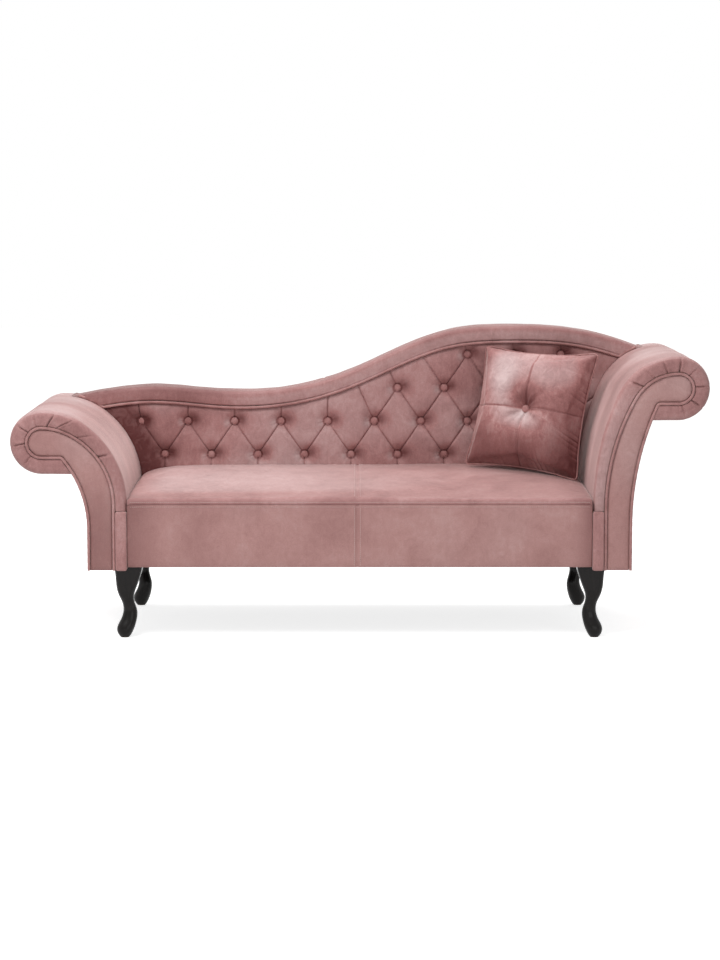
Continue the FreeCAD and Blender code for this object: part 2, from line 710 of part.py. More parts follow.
def back_band(high, low, y0, y1):
    """A solid between two lowered copies of the line of the top."""
    top = back_curve(high)
    bottom = back_curve(low)
    ends = [
        line((x, 0, z - high), (x, 0, z - low))
        for x, z in (BACK_LEFT_END, BACK_RIGHT_END)
    ]
    return prism([top, ends[1], bottom, ends[0]], y0, y1)


def back_sheet(high, bottom, y0, y1):
    """A solid from a level bottom up to a lowered copy of the line of the top."""
    x0, z0 = BACK_LEFT_END
    x1, z1 = BACK_RIGHT_END
    edges = [
        back_curve(high),
        line((x1, 0, z1 - high), (x1, 0, bottom)),
        line((x1, 0, bottom), (x0, 0, bottom)),
        line((x0, 0, bottom), (x0, 0, z0 - high)),
    ]
    return prism(edges, y0, y1)


BOARD_Y = PAD_FRONT + PAD_THICK
FRAME_Y = BOARD_Y + BACK_BOARD
PAD_TOP = ROLL_HEIGHT + 2 * BACK_WELT_DROP


def largest(shape):
    """The main solid of a cut piece."""
    return max(shape.Solids, key=lambda s: s.Volume)


def back_roll(envelope):
    """The padded roll along the top of the back, rounded along both upper edges and the front lower one."""
    band = back_band(0, ROLL_HEIGHT, ROLL_FRONT, ROLL_BACK)
    rim = []
    for edge in band.Edges:
        along = edge.Length > HALF_LENGTH
        if along and edge_is_top(edge):
            rim.append(edge)
    rolled = band.makeFillet(ROLL_ROUND, rim)
    save("back_top_roll", largest(rolled.cut(envelope)))


def edge_is_top(edge):
    """Whether a long edge starts at the height of the line of the top."""
    heights = [v.Z for v in edge.Vertexes]
    return any(abs(z - BACK_LEFT_END[1]) < 0.01 for z in heights)


def back_welt(envelope):
    """The welt cord under the front of the roll."""
    radius = BACK_WELT / 2
    y = ROLL_FRONT + BACK_WELT
    route = back_curve(ROLL_HEIGHT + BACK_WELT_DROP)
    route.translate(V(0, y, 0))
    start = route.Vertexes[0].Point
    ring = Part.Wire(Part.makeCircle(radius, start, route.tangentAt(route.FirstParameter)))
    cord = Part.Wire(route).makePipeShell([ring], True, True)
    save("back_welt", largest(cord.cut(envelope)))


def tuft_columns():
    """The columns of the first and third rows, from the left arm to the right arm."""
    first = -HALF_SEAT + TUFT_FROM_SEAT_END - TUFT_PITCH
    count = int((HALF_LENGTH - first) / TUFT_PITCH)
    return [first + TUFT_PITCH * i for i in range(count)]


def line_height(x):
    """The height of the line of the top at x."""
    curve = back_curve(0)
    cut = curve.Curve.intersect(Part.Line(V(x, 0, 0), V(x, 0, 1)))
    return cut[0].Z if cut else BACK_RIGHT_END[1]


def tuft_places():
    """Every button: rows a pitch apart, every other row moved half a pitch, below the line of the top."""
    clear = PAD_TOP + BUTTON_WIDE / 2
    places = []
    for row in range(4):
        z = TUFT_ROW_LOW + TUFT_ROW_RISE * row
        for x in tuft_columns():
            at = x if row % 2 == 0 else x - TUFT_PITCH / 2
            inside = -HALF_SEAT - BUTTON_WIDE < at < HALF_SEAT
            if inside and abs(at) < back_reach(at, z) and z < line_height(at) - clear:
                places.append((at, z))
    return places


def back_reach(x, z):
    """How far out the arms let the back be seen at a height, less half a button."""
    arm = ARMS[0] if x < 0 else ARMS[1]
    low = max(z - arm.bend, 0)
    return HALF_SEAT + low * TUFT_SPREAD - BUTTON_WIDE / 2


def tuft_section(z, share, deep, wide_bulge, narrow_bulge):
    """One level of the tufted face. share gives the half width of the first row's stretches."""
    front = PAD_FRONT + deep
    stretches = []
    for x in tuft_columns():
        half = share(x)
        stretches.append((x - half, x + half))
    edges = []
    previous = stretches[0][0] - TUFT_PITCH / 2
    first = previous
    for left, right in stretches:
        edges.append(swell(previous, left, front, z, wide_bulge, narrow_bulge))
        edges.append(swell(left, right, front, z, wide_bulge, narrow_bulge))
        previous = right
    edges.append(line((previous, front, z), (previous, BOARD_Y, z)))
    edges.append(line((previous, BOARD_Y, z), (first, BOARD_Y, z)))
    edges.append(line((first, BOARD_Y, z), (first, front, z)))
    return Part.Wire(edges)


def swell(x0, x1, y, z, wide_bulge, narrow_bulge):
    """One padded stretch between two creases, swelling to the front."""
    width = x1 - x0
    bulge = wide_bulge if width > TUFT_PITCH * 0.4 else narrow_bulge
    return arc((x0, y, z), ((x0 + x1) / 2, y - bulge, z), (x1, y, z))


def back_pad(envelope):
    """The tufted pad: pillows between the buttons, with pleats where no row follows."""
    seat = BUTTON_WIDE / 2
    quarter = TUFT_PITCH / 4
    wide = TUFT_PITCH / 2 - seat
    pleat = PLEAT_WIDE / 2
    open_side = TUFT_PITCH / 2 - RISE_BEFORE_MIDDLE
    flat = TUFT_FLAT
    row = TUFT_ROW_LOW
    rise = TUFT_ROW_RISE

    def upper(width):
        return lambda x: width if x > open_side else TUFT_PITCH / 2 - pleat

    levels = [
        (ARM_PAD_BOTTOM, lambda x: pleat, TUFT_CREASE, TUFT_CREASE - flat, flat),
        (row - rise / 2, lambda x: pleat, TUFT_CREASE, TUFT_CREASE, flat),
        (row, lambda x: seat, TUFT_SEAT, TUFT_BULGE, flat),
        (row + rise / 2, lambda x: quarter, TUFT_CREASE, TUFT_HALF_BULGE, TUFT_HALF_BULGE),
        (row + rise, lambda x: wide, TUFT_SEAT, TUFT_BULGE, flat),
        (row + rise * 3 / 2, upper(quarter), TUFT_CREASE, TUFT_HALF_BULGE, TUFT_HALF_BULGE),
        (row + rise * 2, upper(seat), TUFT_SEAT, TUFT_BULGE, flat),
        (row + rise * 5 / 2, upper(quarter), TUFT_CREASE, TUFT_HALF_BULGE, TUFT_HALF_BULGE),
        (row + rise * 3, upper(wide), TUFT_SEAT, TUFT_BULGE, flat),
        (row + rise * 3 + TUFT_TOP_EDGE, upper(wide), TUFT_CREASE, TUFT_CREASE - flat, flat),
    ]
    sections = [tuft_section(*level) for level in levels]
    block = Part.makeLoft(sections, True, True)
    room = back_sheet(PAD_TOP, ARM_PAD_BOTTOM, 0, DEPTH)
    pad = block.common(largest(room.cut(envelope)))
    wells = []
    for x, z in tuft_places():
        well_end = PAD_FRONT + TUFT_SEAT
        wells.append(Part.makeCylinder(BUTTON_WIDE / 2 + SOFT_GAP, well_end, V(x, 0, z), V(0, 1, 0)))
        wells.append(Part.makeCylinder(TIE_WIDE / 2 + BOLT_GAP, DEPTH, V(x, 0, z), V(0, 1, 0)))
    save("back_tufted_pad", largest(pad.cut(Part.makeCompound(wells))))


def back_buttons():
    """Covered buttons in the wells of the pad, each with its twine and a toggle behind the board."""
    seat_y = PAD_FRONT + TUFT_SEAT
    buttons = []
    ties = []
    for x, z in tuft_places():
        buttons.append(button(V(x, seat_y - SOFT_GAP, z), V(0, -1, 0), BUTTON_WIDE))
        length = FRAME_Y - seat_y
        tie = Part.makeCylinder(TIE_WIDE / 2, length, V(x, seat_y, z), V(0, 1, 0))
        toggle = Part.makeCylinder(TOGGLE_WIDE / 2, TOGGLE_THICK, V(x, FRAME_Y, z), V(0, 1, 0))
        ties.append(tie.fuse(toggle))
    save("back_buttons", buttons)
    save("back_button_ties", ties)


def button(at, out, wide):
    """A covered button: a short rim under a low dome."""
    radius = wide / 2
    rim = Part.makeCylinder(radius, BUTTON_RIM, at, out)
    ball = (radius ** 2 + BUTTON_DOME ** 2) / (2 * BUTTON_DOME)
    centre = at + out * (BUTTON_RIM + BUTTON_DOME - ball)
    dome = Part.makeSphere(ball, centre)
    keep = Part.makeCylinder(radius, BUTTON_RIM + BUTTON_DOME, at, out)
    return rim.fuse(dome.common(keep)).removeSplitter()


def back_frame(envelope):
    """The plywood board, the posts, the top rail and the outside cover."""
    low = FOAM_BOTTOM + SOFT_GAP
    board = back_sheet(PAD_TOP, SEAT_SEAM_HEIGHT, BOARD_Y, FRAME_Y).cut(envelope)
    ties = [
        Part.makeCylinder(TIE_WIDE / 2 + BOLT_GAP, DEPTH, V(x, 0, z), V(0, 1, 0))
        for x, z in tuft_places()
    ]
    save("back_board", largest(board.cut(Part.makeCompound(ties))))
    rail_low = PAD_TOP + TOP_RAIL_HEIGHT
    clear_y = FRAME_Y + TOGGLE_THICK + BOLT_GAP
    rail = back_band(ROLL_HEIGHT + SOFT_GAP, rail_low, clear_y, REAR_RAIL_BACK).cut(envelope)
    save("back_top_rail", largest(rail))
    half = POST_WIDE / 2
    under = back_sheet(rail_low, low, clear_y, REAR_RAIL_BACK)
    posts = []
    for x in (-END_RAIL_FACE + half, 0, END_RAIL_FACE - half):
        blank = box(x - half, x + half, clear_y, REAR_RAIL_BACK, low, CREST_HEIGHT)
        posts.append(largest(blank.common(under).cut(envelope)))
    save("back_posts", posts)
    foot = box(-END_RAIL_FACE, END_RAIL_FACE, FRAME_Y - BACK_BOARD, FRAME_Y, FOAM_BOTTOM, SEAT_SEAM_HEIGHT)
    save("back_foot_rail", foot)
    cover = back_sheet(ROLL_HEIGHT + SOFT_GAP, ARM_BOTTOM, REAR_RAIL_BACK, REAR_RAIL_BACK + OUTER_BACK)
    save("back_outer_cover", largest(cover.cut(envelope)))


# Throw cushion
def cushion_frame():
    """Turns the upright cushion into its place: rolled, leaned back, turned into the corner."""
    turn = FreeCAD.Rotation(V(0, 0, 1), CUSHION_TURN)
    lean = FreeCAD.Rotation(V(1, 0, 0), -CUSHION_LEAN)
    roll = FreeCAD.Rotation(V(0, 1, 0), CUSHION_ROLL)
    return FreeCAD.Placement(V(*CUSHION_AT), turn.multiply(lean).multiply(roll))


def cushion_section(share, inset):
    """One section across the cushion, a share of the way to its side: lower and upper arcs, front and back."""
    half = CUSHION / 2 - inset
    x = share * half
    fall = math.cos(share * math.pi / 2)
    reach = half - CUSHION_PULL * fall
    edge = max(CUSHION_EDGE - inset, CUSHION_EDGE / 2)
    full = edge + (CUSHION_CROWN - inset - edge) * fall ** CUSHION_FULLNESS
    near = math.exp(-(share / CUSHION_TUFT_SPREAD) ** 2)
    centre = full - CUSHION_TUFT * near
    drawn = CUSHION_PULL * abs(share) ** CUSHION_PULL_POWER
    middle_x = x - math.copysign(drawn, share) if share else 0
    quarter_x = x - math.copysign(drawn * CUSHION_SHOULDER, share) if share else 0
    low = (x, 0, -reach)
    high = (x, 0, reach)
    rise = full * CUSHION_SHOULDER

    def side(sign):
        waist = (middle_x, -sign * centre, 0)
        lower = arc(low, (quarter_x, -sign * rise, -reach / 2), waist)
        upper = arc(waist, (quarter_x, -sign * rise, reach / 2), high)
        return lower, upper

    front = side(1)
    back = side(-1)
    return [front[0], front[1], back[1], back[0]]


def cushion_body(inset):
    """The crowned cushion, with corners that stand out and edges that pull in between them."""
    sections = [cushion_section(share, inset) for share in CUSHION_STEPS]
    loft = Part.makeLoft([Part.Wire(edges) for edges in sections], False, False)
    faces = list(loft.Faces)
    for edges in (sections[0], sections[-1]):
        faces.append(Part.makeRuledSurface(edges[0], edges[3]))
        faces.append(Part.makeRuledSurface(edges[1], edges[2]))
    shell = Part.makeShell(faces)
    shell.sewShape()
    return Part.makeSolid(Part.Shell(shell.Faces))


def throw_cushion():
    frame = cushion_frame()
    cover = cushion_body(0)
    filling = cushion_body(CUSHION_CLOTH + SOFT_GAP)
    well = CUSHION_CROWN - CUSHION_TUFT + CUSHION_WELL
    wells = [
        Part.makeCylinder(CUSHION_BUTTON / 2 + SOFT_GAP, CUSHION, V(0, sign * well, 0), V(0, sign, 0))
        for sign in (-1, 1)
    ]
    cover = cover.cut(cushion_body(CUSHION_CLOTH)).cut(Part.makeCompound(wells))
    seat = well + SOFT_GAP
    buttons = [
        button(V(0, -seat, 0), V(0, -1, 0), CUSHION_BUTTON),
        button(V(0, seat, 0), V(0, 1, 0), CUSHION_BUTTON),
    ]
    for shape in [cover, filling] + buttons:
        shape.Placement = frame.multiply(shape.Placement)
    save("throw_cushion_cover", cover)
    save("throw_cushion_filling", filling)
    save("throw_cushion_buttons", buttons)


# Legs
def leg_section(z, wide, out, corner):
    """A square with rounded corners, moved outwards along both sides."""
    half = wide / 2
    radius = half * corner
    flat = half - radius
    edges = []
    for i in range(4):
        turn = math.pi / 2 * i
        c, s = math.cos(turn), math.sin(turn)

        def at(a, b):
            return (out + a * c - b * s, out + a * s + b * c, z)

        bow = flat + radius * math.sqrt(0.5)
        edges.append(line(at(half, -flat), at(half, flat)))
        edges.append(arc(at(half, flat), at(bow, bow), at(flat, half)))
    return Part.Wire(edges)


def leg_body():
    """A cabriole leg turned towards +X and +Y: full knee, thin ankle, rounded foot with its toe out."""
    levels = [
        (GLIDE_THICK + height, ANKLE + (LEG_TOP - ANKLE) * width, out, corner)
        for height, width, out, corner in LEG_PROFILE
    ]
    levels.append((BODY_BOTTOM, LEG_TOP - LEG_FIT, 0, LEG_TOP_CORNER))
    return Part.makeLoft([leg_section(*level) for level in levels], True, False)


def legs():
    bore_low = BODY_BOTTOM - LEG_BOLT_IN_LEG - BOLT_GAP
    bore = Part.makeCylinder(BOLT / 2 + BOLT_GAP, LEG_HEIGHT, V(0, 0, bore_low))
    bolts = []
    inserts = []
    glides = []
    body = leg_body().cut(bore)
    for name, sx, sy in CORNERS:
        turned = body.copy()
        turned.rotate(V(0, 0, 0), V(0, 0, 1), math.degrees(math.atan2(sy, sx)) - 45)
        turned.translate(V(sx * LEG_X, sy * LEG_Y, 0))
        save(f"{name}_leg", turned)
        at = V(sx * LEG_X, sy * LEG_Y, 0)
        bolts.append(Part.makeCylinder(BOLT / 2, LEG_BOLT_LENGTH, at + V(0, 0, BODY_BOTTOM - LEG_BOLT_IN_LEG)))
        sleeve = Part.makeCylinder(INSERT_WIDE / 2, INSERT_LENGTH, at + V(0, 0, BODY_BOTTOM))
        hole = Part.makeCylinder(BOLT / 2 + BOLT_GAP, INSERT_LENGTH, at + V(0, 0, BODY_BOTTOM))
        inserts.append(sleeve.cut(hole))
        toe = V(sx * (LEG_X + TOE_OUT), sy * (LEG_Y + TOE_OUT), 0)
        glides.append(Part.makeCylinder(GLIDE_WIDE / 2, GLIDE_THICK, toe))
    save("leg_bolts", bolts)
    save("leg_inserts", inserts)
    save("leg_glides", glides)


def main():
    os.makedirs("parts", exist_ok=True)
    envelope = arm_envelope()
    for arm in ARMS:
        save(f"{arm.name}_arm_pad", arm.pad())
        arm_boards(arm)
        arm_facings(arm)
        arm_welts(arm)
        arm_lining(arm)
        arm_outer_panel(arm)
        arm_rails(arm)
        arm_strips(arm)
    arm_bolts()
    seat_end_rails()
    seat_long_rails()
    seat_corner_blocks()
    seat_springs()
    spring_clips()
    seat_inside()
    seat_pad()
    seat_front_border()
    back_roll(envelope)
    back_welt(envelope)
    back_pad(envelope)
    back_buttons()
    back_frame(envelope)
    throw_cushion()
    legs()


main()
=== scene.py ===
import json
import math

import bmesh
import bpy
import numpy as np
from mathutils import Matrix, Vector
from mathutils.geometry import delaunay_2d_cdt

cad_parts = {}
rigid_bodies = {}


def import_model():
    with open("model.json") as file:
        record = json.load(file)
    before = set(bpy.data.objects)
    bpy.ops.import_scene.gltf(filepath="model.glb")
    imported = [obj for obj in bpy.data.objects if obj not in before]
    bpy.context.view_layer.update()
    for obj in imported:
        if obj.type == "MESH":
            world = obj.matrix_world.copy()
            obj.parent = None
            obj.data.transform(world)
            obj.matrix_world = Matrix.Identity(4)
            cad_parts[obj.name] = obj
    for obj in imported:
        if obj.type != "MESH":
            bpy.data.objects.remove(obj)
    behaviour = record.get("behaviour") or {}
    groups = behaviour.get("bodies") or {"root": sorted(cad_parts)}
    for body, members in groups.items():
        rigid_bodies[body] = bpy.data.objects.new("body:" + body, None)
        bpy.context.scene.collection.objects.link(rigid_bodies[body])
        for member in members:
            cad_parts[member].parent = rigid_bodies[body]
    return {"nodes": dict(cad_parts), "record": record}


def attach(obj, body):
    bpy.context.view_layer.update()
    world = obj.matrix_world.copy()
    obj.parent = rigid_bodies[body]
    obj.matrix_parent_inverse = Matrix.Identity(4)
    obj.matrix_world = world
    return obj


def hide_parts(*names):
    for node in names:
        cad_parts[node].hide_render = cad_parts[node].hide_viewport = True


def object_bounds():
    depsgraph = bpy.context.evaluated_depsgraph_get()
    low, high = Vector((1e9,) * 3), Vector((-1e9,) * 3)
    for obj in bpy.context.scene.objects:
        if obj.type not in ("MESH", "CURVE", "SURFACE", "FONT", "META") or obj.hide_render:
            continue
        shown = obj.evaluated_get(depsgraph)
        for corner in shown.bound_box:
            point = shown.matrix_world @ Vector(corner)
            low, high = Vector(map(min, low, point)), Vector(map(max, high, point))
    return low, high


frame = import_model()
cad_low, cad_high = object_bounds()

MM = 0.001

# Driving sizes, in metres
HALF_LENGTH = cad_high.x
HALF_SEAT = 0.600
ROLL_RADIUS = 0.0825
PAD_DEPTH = 0.040
PAD_FOOT = 0.030
WAIST = 0.703
PAD_LOW = 0.335
ARM_LOW = 0.180
BODY_LOW = 0.188
FACING_Y = 0.304
BOARD_Y = 0.292
BACK_REAR = 0.238
ROLL_HEIGHT = 0.042
SEAT_SEAM = 0.352


class Arm:
    """Sizes of one scroll arm, measured outwards from the middle of the piece."""

    def __init__(self, name, side, top, crown, bend, neck_radius, neck_bend, pleats):
        self.name = name
        self.side = side
        self.top = top
        self.crown = crown
        self.bend = bend
        self.neck_radius = neck_radius
        self.neck_bend = neck_bend
        self.pleats = pleats
        self.roll = (HALF_LENGTH - ROLL_RADIUS, top - ROLL_RADIUS)


LEFT_PLEATS = (0.154, 0.216, 0.283, 0.336, 0.398, 0.457, 0.518, 0.581)
RIGHT_PLEATS = (0.352, 0.402, 0.459, 0.510, 0.565, 0.624, 0.685, 0.737)
ARMS = (
    Arm("left", -1, 0.594, 0.190, 0.350, 0.278, 0.290, LEFT_PLEATS),
    Arm("right", 1, 0.733, 0.170, 0.340, 0.760, 0.300, RIGHT_PLEATS),
)

BACK_LINE = np.array([
    (-0.792, 0.590), (-0.575, 0.6205), (-0.362, 0.606), (-0.051, 0.653), (0.127, 0.731),
    (0.255, 0.774), (0.400, 0.786), (0.612, 0.7735), (0.703, 0.750), (0.778, 0.725),
])


# Mesh helpers
def make_object(name, points, faces, material, smooth=True):
    """One mesh object at the origin, with its normals turned outwards."""
    mesh = bpy.data.meshes.new(name)
    mesh.from_pydata(np.asarray(points, dtype=float).reshape(-1, 3).tolist(), [], faces)
    work = bmesh.new()
    work.from_mesh(mesh)
    bmesh.ops.remove_doubles(work, verts=work.verts, dist=0.02 * MM)
    bmesh.ops.recalc_face_normals(work, faces=work.faces)
    work.to_mesh(mesh)
    work.free()
    mesh.polygons.foreach_set("use_smooth", [smooth] * len(mesh.polygons))
    mesh.materials.append(material)
    obj = bpy.data.objects.new(name, mesh)
    bpy.context.scene.collection.objects.link(obj)
    return obj


def grid_faces(rows, columns, wrap_rows=False, wrap_columns=False):
    """Quads of a grid of points, row by row, joined round where it wraps."""
    i = np.arange(rows if wrap_rows else rows - 1)
    j = np.arange(columns if wrap_columns else columns - 1)
    i, j = np.meshgrid(i, j, indexing="ij")
    i2, j2 = (i + 1) % rows, (j + 1) % columns
    quads = np.stack([i * columns + j, i2 * columns + j, i2 * columns + j2, i * columns + j2], -1)
    return quads.reshape(-1, 4).tolist()


def tube_mesh(points):
    """Faces of rings of points: rows are rings, columns go round, with a fan over each end."""
    rows, columns = points.shape[:2]
    faces = grid_faces(rows, columns, wrap_columns=True)
    centres = np.array([points[0].mean(0), points[-1].mean(0)])
    count = rows * columns
    for k in range(columns):
        after = (k + 1) % columns
        faces.append([count, after, k])
        faces.append([count + 1, (rows - 1) * columns + k, (rows - 1) * columns + after])
    return np.vstack([points.reshape(-1, 3), centres]), faces


def tube_object(name, points, material):
    """A closed tube from rings of points."""
    verts, faces = tube_mesh(points)
    return make_object(name, verts, faces, material)


def ring_object(name, points, material):
    """Rings of points that close on themselves both ways, such as a welt round a panel."""
    rows, columns = points.shape[:2]
    return make_object(name, points, grid_faces(rows, columns, True, True), material)


def resample(path, count):
    """count points at even steps along a path of points."""
    steps = np.r_[0, np.cumsum(np.linalg.norm(np.diff(path, axis=0), axis=1))]
    at = np.linspace(0, steps[-1], count)
    return np.stack([np.interp(at, steps, path[:, k]) for k in range(path.shape[1])], -1)


def cord_rings(path, radius, sides=12, closed=False):
    """Rings round a path: each ring stands square to the path and keeps the y direction in it."""
    if closed:
        ahead = np.roll(path, -1, 0) - np.roll(path, 1, 0)
    else:
        ahead = np.gradient(path, axis=0)
    ahead /= np.linalg.norm(ahead, axis=1, keepdims=True)
    depth = np.array([0.0, 1.0, 0.0])
    side = np.cross(ahead, depth)
    side /= np.linalg.norm(side, axis=1, keepdims=True)
    up = np.cross(side, ahead)
    turn = np.linspace(0, 2 * np.pi, sides, endpoint=False)
    out = side[:, None] * np.cos(turn)[:, None] + up[:, None] * np.sin(turn)[:, None]
    return path[:, None] + radius * out


def points_of(obj):
    """The mesh's points as rows of x, y and z."""
    points = np.empty(len(obj.data.vertices) * 3)
    obj.data.vertices.foreach_get("co", points)
    return points.reshape(-1, 3)


def settle(obj, slot, *nodes, fill=None):
    """Hides the nodes that a finished piece stands for, and gives the piece back.
    slot and fill are not used."""
    if nodes:
        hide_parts(*nodes)
    return obj


def smoothstep(a, b, x):
    """Nought up to a, one from b on, and a smooth cubic between them. a may be the larger."""
    t = np.clip((x - a) / (b - a), 0, 1)
    return t * t * (3 - 2 * t)


def wobble(x, y, z, scale, seed):
    """A smooth random swell between about -1 and 1: a sum of sine waves in fixed odd directions."""
    rng = np.random.default_rng(seed)
    total = 0.0
    for _ in range(7):
        direction = rng.normal(size=3)
        direction *= rng.uniform(0.6, 1.5) / np.linalg.norm(direction)
        phase = rng.uniform(0, 2 * np.pi)
        total = total + np.sin((x * direction[0] + y * direction[1] + z * direction[2]) / scale + phase)
    return total / 3.2


# Outlines
def arc_points(centre, radius, start, end, count):
    """Points along an arc from one angle to another."""
    turn = np.linspace(start, end, count)
    return np.stack([centre[0] + radius * np.cos(turn), centre[1] + radius * np.sin(turn)], -1)


def arm_curve(arm, roll_inset, foot_inset, bottom, fine=1):
    """Up the seat side, over the crown, round the roll and in to the neck, as five stretches."""
    foot = HALF_SEAT + foot_inset
    top = arm.top - roll_inset
    small = arm.crown - roll_inset
    across = arm.roll[0] - foot
    rise = top - small - arm.bend
    large = (across ** 2 + rise ** 2 - small ** 2) / (2 * (across - small))
    centre = (foot + large, arm.bend)
    upper = (arm.roll[0], top - small)
    meet = math.atan2(upper[1] - centre[1], upper[0] - centre[0])
    under = arm.top - 2 * ROLL_RADIUS + roll_inset
    return [
        np.linspace((foot, bottom), (foot, arm.bend), 4 * fine),
        arc_points(centre, large, math.pi, meet, 26 * fine),
        arc_points(upper, small, meet, math.pi / 2, 40 * fine),
        arc_points(arm.roll, ROLL_RADIUS - roll_inset, math.pi / 2, -math.pi / 2, 64 * fine),
        np.linspace((arm.roll[0], under), (neck_out(arm, under, 0), under), 14 * fine),
    ]


def neck_out(arm, height, inset):
    """How far out the hollow outer face of the arm stands at a height."""
    radius = arm.neck_radius + inset
    above = np.maximum(height - arm.neck_bend, 0)
    return WAIST + arm.neck_radius - np.sqrt(radius ** 2 - above ** 2)


def joined(stretches):
    """One line of points from stretches that share their end points."""
    return np.vstack([s if i == 0 else s[1:] for i, s in enumerate(stretches)])


def facing_outline(arm, extra, count, lift=0.0005):
    """The closed outline of the facing, drawn in by extra and raised by lift, as evenly spaced points
    that start at the foot on the seat side."""
    stretches = arm_curve(arm, PAD_DEPTH + extra, PAD_FOOT + extra, ARM_LOW + lift)
    under = stretches[-1][-1, 1]
    corner = (neck_out(arm, under, extra), under)
    stretches[-1] = np.linspace(stretches[-1][0], corner, 20)
    heights = np.linspace(under, ARM_LOW + lift, 80)
    neck = np.stack([neck_out(arm, heights, extra), heights], -1)
    foot = np.linspace(neck[-1], stretches[0][0], 20)
    outline = joined(stretches + [neck, foot])
    return resample(outline, count + 1)[:-1]


def soften(outline, rounds):
    """Rounds the corners of a closed outline by averaging each point with its neighbours."""
    for _ in range(rounds):
        outline = (np.roll(outline, 1, 0) + 2 * outline + np.roll(outline, -1, 0)) / 4
    return outline


def back_spline():
    """A smooth line through the points of the back's top: a natural cubic spline along its length."""
    steps = np.r_[0, np.cumsum(np.linalg.norm(np.diff(BACK_LINE, axis=0), axis=1))]
    count = len(steps)
    gaps = np.diff(steps)
    matrix = np.eye(count)
    right = np.zeros((count, 2))
    for i in range(1, count - 1):
        matrix[i, i - 1:i + 2] = gaps[i - 1], 2 * (gaps[i - 1] + gaps[i]), gaps[i]
        slopes = np.diff(BACK_LINE[i - 1:i + 2], axis=0) / gaps[i - 1:i + 1, None]
        right[i] = 6 * (slopes[1] - slopes[0])
    bend = np.linalg.solve(matrix, right)
    at = np.linspace(0, steps[-1], 900)
    i = np.clip(np.searchsorted(steps, at) - 1, 0, count - 2)
    a = ((steps[i + 1] - at) / gaps[i])[:, None]
    b = 1 - a
    gap = gaps[i][:, None] ** 2 / 6
    straight = a * BACK_LINE[i] + b * BACK_LINE[i + 1]
    return straight + ((a ** 3 - a) * bend[i] + (b ** 3 - b) * bend[i + 1]) * gap


BACK_CURVE = back_spline()


def back_height(x):
    """Height of the line of the back's top at x."""
    return np.interp(x, BACK_CURVE[:, 0], BACK_CURVE[:, 1])


def arm_surface(arm, x):
    """Height of the top of an arm's pad above x, for what lies on its crown."""
    outer = joined(arm_curve(arm, 0, 0, PAD_LOW)[:3])
    return np.interp(np.abs(x), outer[:, 0], outer[:, 1])


def arm_reach(arm, z):
    """How far out the seat side of an arm's pad stands at height z."""
    outer = joined(arm_curve(arm, 0, 0, 0.1)[:3])
    return np.interp(z, outer[:, 1], outer[:, 0])


